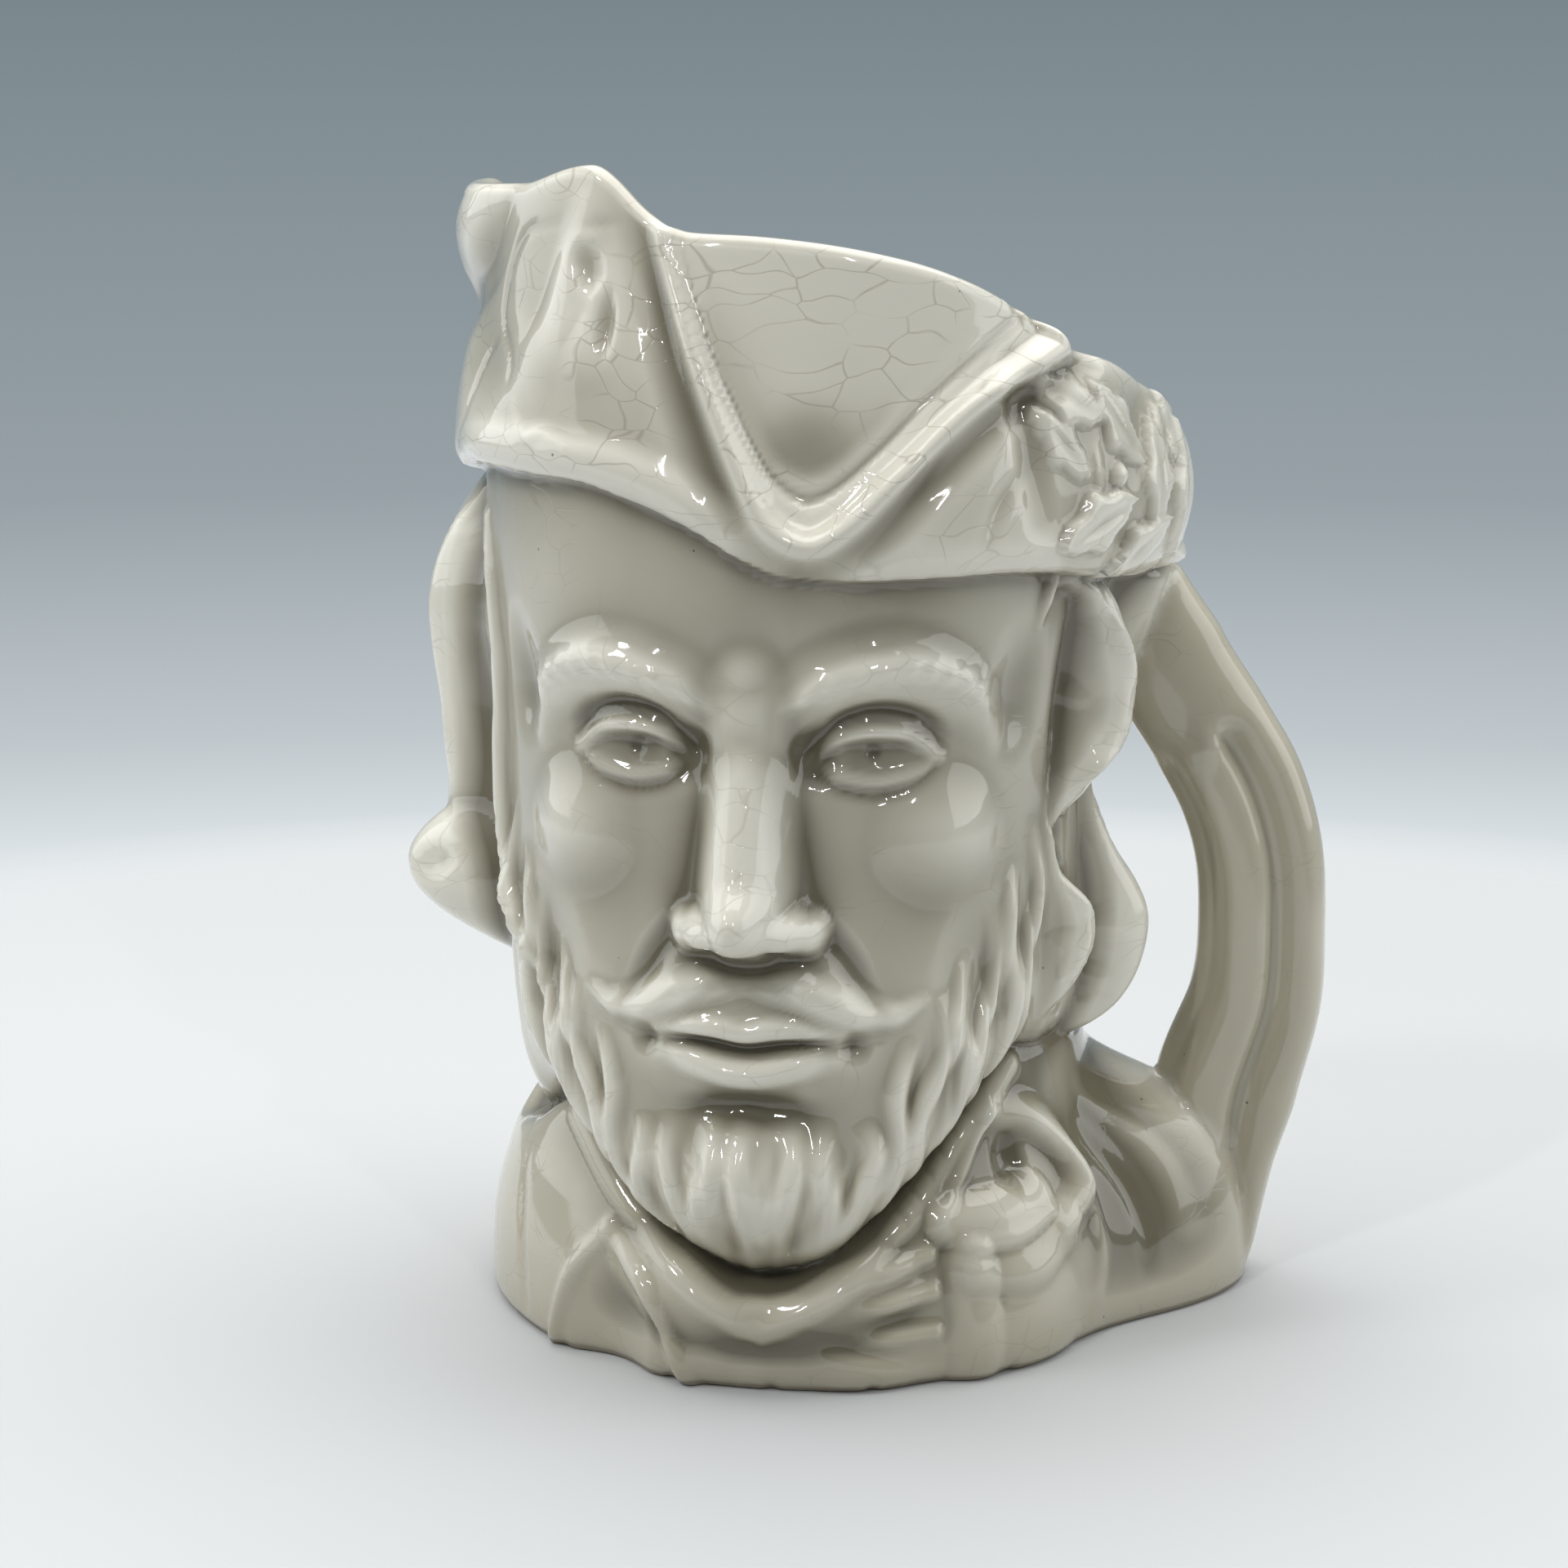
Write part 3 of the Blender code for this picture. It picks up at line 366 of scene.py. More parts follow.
# Locks at the sides: path as (turn, rise), half widths and heights along it
LOCKS = [
    (
        [(-90, 141), (-92, 130), (-91, 114), (-93, 100), (-92, 88), (-91, 77), (-92, 63)],
        (14, 22, 26, 26, 25, 24, 16), (2, 9.8, 14.2, 13.8, 13.6, 14, 4),
    ),
    (
        [(-116, 142), (-112, 126), (-116, 108), (-111, 92), (-116, 76), (-110, 60), (-113, 48)],
        (8, 11, 11, 11, 12, 10, 6), (4, 8, 8.6, 8, 9, 7, 2),
    ),
    (
        [(60, 128), (67, 118), (70, 105), (64, 95), (58, 86), (58, 78), (63, 68), (58, 57)],
        (3, 8, 11, 8, 4, 5, 8.5, 4), (2.5, 7.5, 9.6, 6.6, 3.5, 3.8, 6.6, 1.6),
    ),
    (
        [(74, 108), (78, 92), (82, 80), (86, 66), (82, 54), (74, 47)],
        (5, 6, 8, 11, 8, 3), (1, 2, 5.5, 11, 8, 1),
    ),
]

# Strokes cut along the locks (minus) and raised on their rims
LOCK_STROKES = [
    (
        [(60, 122), (64, 114), (66, 105), (61, 97), (57, 87), (57.5, 78), (60.5, 68), (58, 60)],
        (1.5, 4, 6, 4, 1.6, 2, 4.6, 1.5), (0, -1.4, -3, -1.6, -0.3, -0.5, -2.4, -0.4),
    ),
    (
        [(62.5, 121), (70.5, 113), (74.5, 105.5), (71, 99), (63, 94.5), (58, 89.5), (58.5, 82), (62, 76),
         (67.5, 70), (66.5, 62), (61, 57)],
        2.4, (0.6, 1.2, 1.6, 1.5, 1.2, 0.6, 0.8, 1.2, 1.8, 1.4, 0.5),
    ),
    ([(-83, 136), (-84, 121), (-84.5, 108), (-84, 95), (-81, 83)], 3.6, (0.4, 1.3, 1.5, 1.3, 0.4)),
    (
        [(-73, 132), (-74, 118), (-74, 100), (-72.5, 84), (-69, 72)],
        (4, 6, 6.5, 6, 4), (-0.5, -1.5, -1.7, -1.5, -0.5),
    ),
]


def hair(s):
    """Locks that fall from under the hat to the collar, curling out at the lower left."""
    found = s.ridge([(62, 128), (60, 100), (61, 70)], (5, 5.5, 4), (-0.8, -1.8, -0.8))
    laid = s.flat()
    for path, width, height in LOCKS:
        laid = soft_max(laid, s.ridge(path, width, height, 1.3), 0.8)
    laid = soft_max(laid, s.dome((-83, 72), (17, 16), 19.4, 1.1), 1.5)
    laid -= s.dome((-75.5, 73.4), (3.8, 4.4), 2.0)
    laid += s.ridges(LOCK_STROKES)
    for k in range(7):
        middle = 130 + 17 * k
        sway = 4.5 if k % 2 else -4.5
        path = [
            (middle, 140), (middle + sway, 118), (middle - sway * 0.6, 94), (middle + sway * 0.8, 72),
            (middle - sway * 0.5, 50),
        ]
        laid = soft_max(laid, s.ridge(path, (9, 11, 10, 11, 7), (3, 5, 4.4, 6, 3), 1.3), 0.8)
    return found + laid


def face_edge(s):
    """The raised edge of skin and beard in front of the hair at the left."""
    return s.ridge(
        [(-61, 134), (-58.5, 120), (-59.5, 105), (-60.5, 90), (-57.5, 77.4), (-50.5, 69.3), (-42, 61.7)],
        (2.6, 3, 3, 3, 3, 2.8, 2), (0.8, 2, 2.2, 2.4, 2.4, 1.8, 0.6),
    )


# Rise of the lower edge of the beard, and of the hair behind it, as (turn, rise)
JAW_LINE = [
    (-150, 45), (-94, 33.5), (-78, 28), (-62, 34.5), (-45, 42), (-32, 36), (-20, 28.5), (-10, 22.4),
    (0, 18.6), (9, 19.8), (17, 25), (24, 31), (33, 38), (42, 45), (52, 50), (64, 48), (94, 44.5),
    (150, 45),
]


def head(s):
    found = plain_head(s)
    front = soft_step(64 - np.abs(s.turn), 0, 6)
    face = nose(s) + eyes(s) + brows(s) + mouth(s) + cheeks(s) + beard(s)
    behind = soft_step(np.abs(s.turn), 54, 62)
    found = found + face * front + hair(s) * behind + face_edge(s)
    above = s.rise - around(s.turn, JAW_LINE)
    edge = np.clip(above / 13, 0, 1)
    roll = 6 * (1 - np.sqrt(1 - (1 - edge) ** 2))
    return found - roll - 2.2 * np.clip(-above, 0, 20)


# The hat

# Rise of the lower edge of the brim, as (turn, rise)
BRIM_LINE = [
    (-150, 138), (-110, 138), (-74, 140.5), (-52, 144), (-26, 143.6), (-15, 141), (-6, 137), (0, 133),
    (6, 130.5), (14, 130), (35, 130), (48, 129), (60, 127), (80, 125), (110, 128), (150, 134),
]


# Rise of the jug's mouth, which is also the top of the hat, as (turn, rise)
MOUTH_LINE = [
    (-150, 160), (-120, 168), (-95, 181), (-78, 187), (-62, 186.6), (-45, 187), (-27, 190),
    (-15, 182.6), (-9, 180.4), (0, 180), (10, 179), (23, 176.5), (34, 173), (46, 167.4), (54, 162.5),
    (66, 159.5), (80, 155), (95, 150), (120, 150), (160, 156),
]


# The notch in the brim: the outer edge of its rolled lip, and the line where the lip meets the crown
LIP_OUTSIDE = [
    (-18, 196), (-13.5, 182), (-6.8, 164), (-0.5, 147.5), (3.5, 138.5), (8.8, 135), (14, 138), (21, 145.5),
    (32, 155), (44, 161), (60, 167),
]
LIP_INSIDE = [
    (-12, 196), (-8.8, 180), (-5.2, 166), (2, 150.5), (4.8, 146.4), (8.6, 144.6), (12.4, 146), (17.5, 150.4),
    (25.5, 158.4), (38, 168), (52, 175),
]
CROWN_DEPTH = 8.8  # how far the crown lies behind the brim, in units


def hat(s):
    """Turned-up brim with a deep notch over the brow, and the crown that shows in the notch."""
    found = turned(
        s,
        left=[(120, 57), (142, 58.4), (150, 58), (160, 56.2), (171, 52), (190, 50)],
        right=[(120, 55.5), (138, 56), (158, 55), (171, 53), (190, 52)],
        front=[(120, 65), (136, 66.5), (158, 64), (175, 60), (190, 57)],
        back=[(120, 60), (136, 60), (160, 55), (190, 50)],
        squareness=2.1,
    )
    past_edge, past_lip = s.beyond(LIP_OUTSIDE), s.beyond(LIP_INSIDE)
    ramp = np.clip(past_edge / np.maximum(past_edge - past_lip + 1.2, 1), 0, 1)
    found -= CROWN_DEPTH * (0.55 * ramp + 0.45 * soft_step(ramp, 0, 1))
    found += 1.3 * swell((past_edge - 0.4) / 2.8) - 1.3 * swell((past_edge + 4.6) / 3.6)
    found += 0.6 * swell((past_lip + 0.9) / 2.6)
    found += s.dome((-24.8, 175.2), (3.4, 4.8), -2.4, tilt=30)
    found += s.domes([
        ((-20.6, 167), (2.2, 6.6), -1.7), ((-25, 170), (10, 15), 1.0), ((-50, 160), (16, 10), -1.6),
    ])
    found += s.ridges([
        ([(-60, 146), (-45, 148), (-28, 148), (-14, 146), (-4, 140), (4, 133)],
         4.5, (0, 1.2, 1.2, 1.2, 1.2, 0.4)),
        ([(-26, 184), (-30, 170), (-36, 152)], 6, (1.5, 1.2, 0)),
        ([(40, 160), (41, 150), (43, 138)], 4.5, (-0.8, -1.6, -0.8)),
        ([(-95, 168), (-79, 177.5), (-64, 182), (-47, 187)], (8, 12, 11, 5), (1.5, 6.8, 6.2, 1.5), 1.3),
        ([(-45, 185), (-48.5, 178.6), (-54, 173.4), (-64, 168.6)], 3.6, (-0.6, -2.4, -2.4, -0.8)),
    ])
    under = around(s.turn, BRIM_LINE) - s.rise
    edge = np.clip(1 + under / 3.5, 0, 1)
    return found - 1.6 * edge**2 - 4.5 * np.clip(under, 0, 20)


def leaf(s, at, length, width, tilt, height):
    """A pointed leaf with soft lobes. Its middle vein is a groove, and its rim stands up a little."""
    c, t = math.cos(math.radians(tilt)), math.sin(math.radians(tilt))
    x = (s.beside(at[0]) - at[0]) * DEGREE
    y = s.rise - at[1]
    u = (x * c + y * t) / length
    v = (y * c - x * t) / width
    outline = np.clip(1 - np.abs(u) ** 1.5, 0, 1) * (0.88 + 0.12 * np.cos(u * 9.5 + 0.5))
    inward = np.clip(1 - np.abs(v) / (outline + 1e-6), 0, 1) * (outline > 0)
    rim = soft_step(inward, 0, 0.3)
    vein = np.exp(-((v / 0.16) ** 2)) * 0.3 * (1 - np.abs(u))
    return height * (rim * (0.86 - 0.25 * inward) + 0.3 * inward - vein * rim)


# Leaves of the sprig: place, length, width, tilt and height
LEAVES = [
    ((50, 155), 8.5, 5, -24, 1.5),
    ((47.5, 148.5), 8.5, 4.4, -44, 1.2),
    ((61.5, 150.5), 9.5, 5.6, -46, 1.7),
    ((55, 136), 10, 6, 20, 2.3),
    ((67, 130.5), 10, 5, 28, 2.4),
    ((72, 141.5), 10, 5.6, 82, 1.8),
    ((79, 148), 10, 5.6, 20, 1.3),
    ((84, 138.5), 12, 7, 80, 2.0),
]


def sprig(s):
    """Leaves and a berry on a swelling at the side of the hat, above the handle."""
    found = s.dome((85, 138), (25, 18), 4.8, 1.3) + s.dome((61, 141), (16, 19), 1.5)
    laid = s.flat()
    for place in LEAVES:
        laid = soft_max(laid, leaf(s, *place), 0.25)
    laid = soft_max(laid, s.ridge([(55.3, 149), (54.8, 144.7), (55.8, 140)], 1.8, (0.2, 1.0, 0.4)), 0.3)
    laid = soft_max(laid, s.ridge([(43, 132.6), (47, 133.2), (53, 134.6)], 1.5, (0.1, 0.7, 0.8)), 0.3)
    for at, size, height in (((60.2, 142.9), 2.3, 2.0), ((61.5, 139), 1.9, 1.3)):
        laid = soft_max(laid, s.dome(at, (size, size), height, 0.7), 0.3)
    creases = s.ridge([(79.5, 152), (78, 146), (77, 140), (78.5, 133)], 1.3, (-0.2, -0.8, -0.8, -0.2))
    return found + laid + creases


def sprig_stems(s):
    """Curled stem ends that lie on the hair under the brim."""
    curl = s.ridge(
        [(46, 130.4), (50.3, 130), (51.5, 127.5), (51, 124), (50.4, 120.5)], 2, (0.6, 1.8, 2, 1.6, 0.4)
    )
    bow = s.ridge([(52.3, 126.6), (56, 126.6), (60.5, 124.2), (62.6, 121.6)], 2.2, (0.8, 2.2, 2.4, 1.0))
    return np.maximum(curl, bow)


# The collar

# Rise of the collar's upper edge: two lapels that cross under the beard, as (turn, rise)
COLLAR_LINE = [
    (-150, 46), (-95, 32.5), (-80, 26.5), (-66, 29), (-50, 35.5), (-40, 34.5), (-23, 26),
    (-11.5, 19.5), (-1, 13.5), (2, 13.5), (16, 21), (29, 30), (41, 39.5), (56, 47), (75, 47),
    (95, 44.5), (150, 46),
]


# Swellings and hollows of the collar: place, size and height
COLLAR_SWELLINGS = [
    ((5, 2), (62, 32), 2.0), ((58, 14), (26, 24), 1.0), ((0, 17), (30, 10), 5.0, 1.2),
    ((-10, 6), (9, 9), 1.2), ((18, 4), (12, 9), 1.4), ((-26.5, 4), (9.5, 16), -3.0, 1.2),
    ((47, 5), (14, 16), 2.2, 1.2), ((49.5, 31.5), (5.4, 6.2), -2.2),
]
COLLAR_FOLDS = [
    # edges of the two lapels
    ([(-48, 38), (-36, 32), (-22, 24.5), (-11, 18), (-1, 11)], 3, 1.1),
    ([(54, 47), (41, 38), (28, 28), (15, 18.5), (2, 10)], 3.2, 1.3),
    # the tab at the left
    ([(-28.6, 22), (-18, 15.7), (-10.2, 0)], 2.6, (0.6, 1.8, 1.6)),
    ([(-28.6, 22), (-35.6, 12.7), (-39.4, 0)], 2.6, (0.6, 1.4, 1.6)),
    # the pleats beside the knot
    ([(17, 18), (23, 19.5), (29.5, 21)], 2.2, (0.3, 1.3, 1.1)),
    ([(17, 13.7), (23, 14.5), (29.5, 15.3)], 2.2, (0.3, 1.3, 1.1)),
    ([(17, 9.4), (23, 9), (29.5, 8.6)], 2.2, (0.3, 1.3, 1.1)),
    # the knot and its hanging end
    ([(33, 25.5), (43, 25), (53, 26.5)], (4.2, 5, 4), (2.4, 3.4, 2.4), 0.9),
    ([(37, 19), (47, 18.5), (57, 21)], (5, 6, 5), (1.8, 2.4, 1.6), 1.0),
    ([(36, -2), (36.5, 9), (36, 19)], 5, (1.8, 2.0, 2.0), 1.0),
    ([(30, 25), (38.5, 32.5), (46, 41)], 1.8, (0.5, 1.5, 0.9)),
    ([(45, 40), (55, 38.5), (63, 33), (64, 25.5), (57, 22)], (3.4, 4.4, 5, 5, 4), (0.8, 2.2, 3.0, 2.8, 1)),
]


def collar(s):
    """The cloak's collar, with folds at the left and a knotted end at the right."""
    found = through(s.rise, [(0, 55.0), (3, 55.8), (12, 55.4), (24, 52.6), (36, 47.5), (55, 44)])
    found = found + s.domes(COLLAR_SWELLINGS) + s.ridges(COLLAR_FOLDS)
    above = s.rise - (around(s.turn, COLLAR_LINE) + 2)
    edge = np.clip(1 + above / 2.6, 0, 1)
    return found - 1.2 * edge**2 - 3.2 * np.clip(above, 0, 30)


# Marks finer than the turned form: path as (turn, rise), half width and height, both in units
MARKS = [
    # folds on the left of the hat
    ([(-31.8, 181.8), (-40.7, 179.9), (-45.9, 174.8), (-47.3, 169.5), (-46.3, 165.5), (-41.2, 161.2),
      (-40.1, 157.6)], 1.3, (-0.2, -0.5, -0.5, -0.5, -0.2)),
    ([(-48.8, 162.7), (-53.2, 158.4), (-55.5, 150.7), (-63, 145)], 1.3, (-0.3, -0.45, -0.2)),
    ([(-37, 154), (-33.5, 149.5), (-29, 150.4), (-22, 147)], 1.5, (0.2, 0.5, 0.5, 0.1)),
    ([(-27, 181), (-20, 182)], 1.2, (-0.1, -0.3, -0.1)),
    ([(-17.5, 176), (-14.5, 169), (-11.5, 161)], 1.6, (0.1, 0.4, 0.1)),
    # pleats right of the notch
    ([(22, 142), (27, 150), (34, 155), (42, 157)], 2.2, (-0.1, -0.6, -0.6, -0.1)),
    ([(33, 134), (36, 141), (41, 146)], 2.4, (-0.1, -0.6, -0.1)),
    # hair at the left
    ([(-64.5, 130), (-63, 114), (-63.6, 98), (-62, 86)], 1.2, (-0.2, -0.7, -0.7, -0.2)),
    ([(-66.5, 127), (-65.5, 112), (-66, 98)], 1.1, (0.1, 0.5, 0.1)),
    ([(-75, 138), (-77, 118), (-76, 100), (-77, 86), (-72, 72)], 7.5, (-0.5, -1.4, -1.6, -1.4, -0.3)),
    ([(-87, 128), (-88, 116), (-87, 104)], 2.4, (-0.1, -0.7, -0.1)),
    # locks at the right
    ([(59, 92.5), (58.3, 87.2), (62.9, 80.3), (67.2, 76.4)], 1.3, (-0.3, -0.8, -0.8, -0.2)),
    ([(60.5, 119), (62, 110), (61, 101)], 1.3, (-0.2, -0.6, -0.1)),
    ([(79, 100), (81, 88), (85, 76)], 2.0, (-0.2, -0.9, -0.3)),
    # lapel and cloak
    ([(-60, 29), (-53, 16), (-49, 4)], 2.4, (-0.1, -0.7, -0.3)),
    ([(-21, 19), (-16, 9), (-13, 1)], 1.6, (-0.1, -0.5, -0.2)),
    ([(6, 12), (14, 8), (24, 5), (32, 4)], 2.0, (-0.1, -0.5, -0.5, -0.1)),
    ([(59, 36), (66, 27), (67, 14), (64, 3)], 2.6, (0.1, 0.9, 0.7, 0.2)),
    ([(72, 34), (77, 22), (77, 8)], 2.6, (-0.1, -0.9, -0.3)),
]


def fine_relief(s):
    """Stripes of the lip, strands of hair, creases and nicks."""
    past_edge, past_lip = s.beyond(LIP_OUTSIDE, 13), s.beyond(LIP_INSIDE, 13)
    band = np.clip(past_edge / np.maximum(past_edge - past_lip, 1), 0, 1)
    found = 0.5 * np.sin(band * 5 * math.pi) * np.sin(band * math.pi) * soft_step(-s.rise, -184, -172)
    found += s.ridges(MARKS)
    for k in range(9):  # hairs of the brows
        turn = 7 + 3.5 * k
        lift = 1.4 * math.sin(k / 8 * math.pi)
        hairs = [(turn, 109.6 + lift * 3), (turn + 3.4, 114.2 + lift * 2)]
        found += s.both(s.ridge, hairs, 1.4, (0.1, 0.5, 0.1))
    for k in range(4):  # strands of the moustache
        start = (2.5 + 4.6 * k, 68.6 - 1.1 * k)
        found += s.both(s.ridge, [start, (start[0] + 5, start[1] - 3.6)], 1.3, (-0.1, -0.5, -0.1))
    for k in range(-6, 7):  # strands of the chin tuft
        turn = 2.9 * k + 0.9
        low = 23.5 + 0.55 * abs(k)
        found += s.ridge([(turn * 1.3, 43 - abs(k)), (turn * 1.2, 34), (turn, low)], 1.3, (-0.1, -0.6, -0.2))
    for k in range(7):  # strands along the jaws
        top, low = (27 + 4.4 * k, 56 + 4.6 * k), (24 + 4.6 * k, 34 + 2.6 * k)
        bend = 1.2 if k % 2 else -1.0
        middle = ((top[0] + low[0]) / 2 + bend, (top[1] + low[1]) / 2)
        found += s.both(s.ridge, [top, middle, low], 1.4, (-0.1, -0.7, -0.2))
    for k in range(6):  # short cracks across the lapel
        found += s.ridge([(23.5 + 3.1 * k, 29 + 2.9 * k), (25.8 + 3.1 * k, 26.4 + 2.9 * k)], 0.9, -0.35)
    for turn in (-38.5, -14, 3, 19, 43):
        found -= s.dome((turn, 0), (1.8, 2.6), 0.7)
    return found


def placed_glaze_and_painted_light(s):
    """Where thick glaze gathers beyond what the hollows show, with painted shade in the groove beside the
    notch's lip, at the notch's foot, under the chin and the right jaw, on the cheeks and low on the collar
    and handle. It is minus, a painted highlight, on the pale lip, the crown in the notch and the hat's left
    dent.
    """
    past_edge, past_lip = s.beyond(LIP_OUTSIDE, 13), s.beyond(LIP_INSIDE, 13)
    above = soft_step(s.rise, 121, 127)
    band = soft_step(past_edge, -1.2, 1.4) * soft_step(-past_lip, -2.2, 1.0)
    crown = soft_step(past_lip, -0.5, 2) * soft_step(s.rise, 143, 160)
    # Painted shade in the groove outside the notch's lip; painted highlight (minus) on the lip band and on
    # the crown behind it
    found = above * (1.9 * np.exp(-(((past_edge + 2.6) / 2.4) ** 2)) * (1 - band) - 2.6 * band - 1.5 * crown)
    # Painted shade at these places where plus, painted highlights where minus
    found += s.domes([
        ((-25, 172), (15, 16), -1.6), ((30, 155), (18, 14), -0.7), ((9, 151), (8, 8), 1.2),
        ((-83, 72), (15, 15), 1.5), ((2, 7), (50, 18), 3.2), ((22, 22), (16, 14), 0.6),
        ((66, 20), (18, 24), 0.7), ((90, 12), (34, 36), 2.2),
    ])
    # Painted shade in the valley of the hair at the left and under the jaw at the right
    found += s.ridges([
        ([(-74, 136), (-76, 112), (-76, 88), (-70, 70)], 9, (0.2, 0.5, 0.5, 0.2)),
        ([(47, 33), (58, 44), (70, 50)], 7, (0.6, 1.2, 1.2)),
    ])
    # Painted shade on the cheeks and beside the nose
    return found + s.both(s.dome, (27, 84), (19, 19), 0.7) + s.both(s.dome, (17, 97), (9, 7), 0.6)


def outside(turns, rise):
    """Radius of the jug's outside, in units, at the rises of each column."""
    s = Surface(turns, rise)
    found = soft_max(head(s), collar(s), 1.2)
    found = soft_max(found, LEAST_RADIUS, 2)
    found += sprig_stems(s)
    found = soft_max(found, hat(s) + sprig(s), 1.6)
    beside = np.abs(s.beside(HANDLE_TURN) - HANDLE_TURN)
    web_width = through(s.rise, [(0, 44), (20, 38), (45, 24)])
    web = 19.5 * swell(beside / web_width, 3.4) * soft_step(-s.rise, -43, -29)
    web += s.ridge([(78, 38), (83, 28), (84, 14)], 4, (0.3, 1.2, 0.4))
    root = 10 * swell(beside / 18, 1.2)
    root *= soft_step(s.rise, 92, 118) * soft_step(-s.rise, -132, -122)
    return found + web + root + fine_relief(s)


# The shell

def column_turns():
    """Turns of the columns, in degrees: close together in front, wider apart behind."""
    even = np.arange(COLUMNS) / COLUMNS * 2 * math.pi - math.pi
    return (np.degrees(even - CROWD * np.sin(even)) + FRONT + 180) % 360 - 180


def ring_average(values, passes):
    """Values smoothed round the ring of columns."""
    for _ in range(passes):
        values = (np.roll(values, 1, 0) + 2 * values + np.roll(values, -1, 0)) / 4
    return values


def column_average(values):
    """Values smoothed once up and down each column."""
    padded = np.pad(values, ((0, 0), (1, 1)), mode="edge")
    return (padded[:, :-2] + 2 * padded[:, 1:-1] + padded[:, 2:]) / 4


def wall_rises(turns, top):
    """Rises of each column's points, spaced by the length of the carved surface between them."""
    share = np.linspace(0, 1, WALL_ROWS)
    even = share[None, :] * top[:, None]
    radius = outside(turns, even)
    step = np.hypot(np.diff(radius, axis=1), np.diff(even, axis=1))
    length = np.hstack([np.zeros((len(turns), 1)), np.cumsum(step, 1)])
    length /= length[:, -1:]
    spaced = np.array([
        np.interp(share, FOLLOW * along + (1 - FOLLOW) * share, rise) for along, rise in zip(length, even)
    ])
    return ring_average(spaced, 6)


def inner_radius(turns, levels):
    """Radius of the hollow at each level: the carved outside, evened out, less the wall."""
    least = outside(turns, np.repeat(levels[None, :], len(turns), 0))
    for _ in range(2):
        least = np.minimum(least, np.minimum(np.roll(least, 2, 0), np.roll(least, -2, 0)))
        padded = np.pad(least, ((0, 0), (1, 1)), mode="edge")
        least = np.minimum(padded[:, :-2], np.minimum(padded[:, 1:-1], padded[:, 2:]))
    least = column_average(column_average(ring_average(least, 10)))
    return least - WALL / UNIT


# The handle

# Middle of the handle from its root to its foot, as (distance from the jug's axis, rise), and its half
# width there as a share of the handle's: it flares to meet the collar
HANDLE_PATH = [
    (55, 123), (58.5, 108), (66.5, 94.5), (72, 84.5), (75.2, 73.5), (76, 61), (75.2, 48), (70.6, 32.5),
    (69, 18), (67.6, 6),
]
HANDLE_SPREAD = [0.45, 0.95, 0.98, 1.0, 1.0, 1.0, 1.05, 1.14, 0.9, 0.8]
HANDLE_DEPTH = [(0, 0.45), (0.05, 0.8), (0.12, 0.95), (0.6, 1.0), (1, 1.05)]  # thickness along it
HANDLE_FOOT = [(0.93, 3.2), (0.78, 5.2), (0.5, 6.0)]  # rings that round its foot: size and drop
KNOB = 0.12  # height of the knob where the ribs begin, as a share of thickness


def handle_section(across, ribs):
    """Half thickness across the handle: a proud stave in the middle and a lower band on each side."""
    oval_edge = swell(across, 0.4)
    stave = swell(((across + 0.33) / 0.46) ** 2, 0.5)
    band = swell((across - 0.58) / 0.43, 0.5)
    ribbed = np.maximum(np.maximum(stave, 0.82 * band), 0.56 * oval_edge)
    return oval_edge * (1 - ribs) + np.minimum(ribbed, 1.25 * oval_edge) * ribs


def handle_rings():
    """Closed rings along the handle, in units, ending in a rounded foot just off the table."""
    line = smooth_path(HANDLE_PATH, HANDLE_STEPS)
    line[:, 1] += HANDLE_FOOT_LIFT / UNIT
    tangent = np.gradient(line, axis=0)
    tangent /= np.hypot(tangent[:, 0], tangent[:, 1])[:, None]
    share = np.linspace(0, 1, len(line))
    stations = np.linspace(0, 1, len(HANDLE_SPREAD))
    wide = HANDLE_WIDTH / 2 / UNIT * through(share, list(zip(stations, HANDLE_SPREAD)))
    thick = HANDLE_THICKNESS / 2 / UNIT * through(share, HANDLE_DEPTH)
    swing = np.arange(HANDLE_SIDES) / HANDLE_SIDES * 2 * math.pi
    across = np.cos(swing)
    rings = []
    for k, (point, along) in enumerate(zip(line, tangent)):
        ribs = float(soft_step(share[k], 0.2, 0.24))
        knob = KNOB * math.exp(-(((share[k] - 0.222) / 0.022) ** 2)) * np.exp(-(((across + 0.2) / 0.4) ** 2))
        side = (handle_section(across, ribs) + knob) * np.sign(np.sin(swing)) * thick[k]
        reach = point[0] - along[1] * across * wide[k]
        rise = point[1] + along[0] * across * wide[k]
        rings.append((reach, rise, side))
    reach, rise, side = rings[-1]
    for shrink, drop in HANDLE_FOOT:
        rings.append((
            line[-1][0] + (reach - line[-1][0]) * shrink,
            line[-1][1] + (rise - line[-1][1]) * shrink * (1 - drop / 6) - drop,
            side * shrink,
        ))
    return rings


# Rolled clay

FOOT_ROUNDING = [(0.9, 0), (0.3, 0.25)]  # rings that round the foot: inset and rise, in units
FOOT_TOP = 0.8  # rise at which the wall stands on them


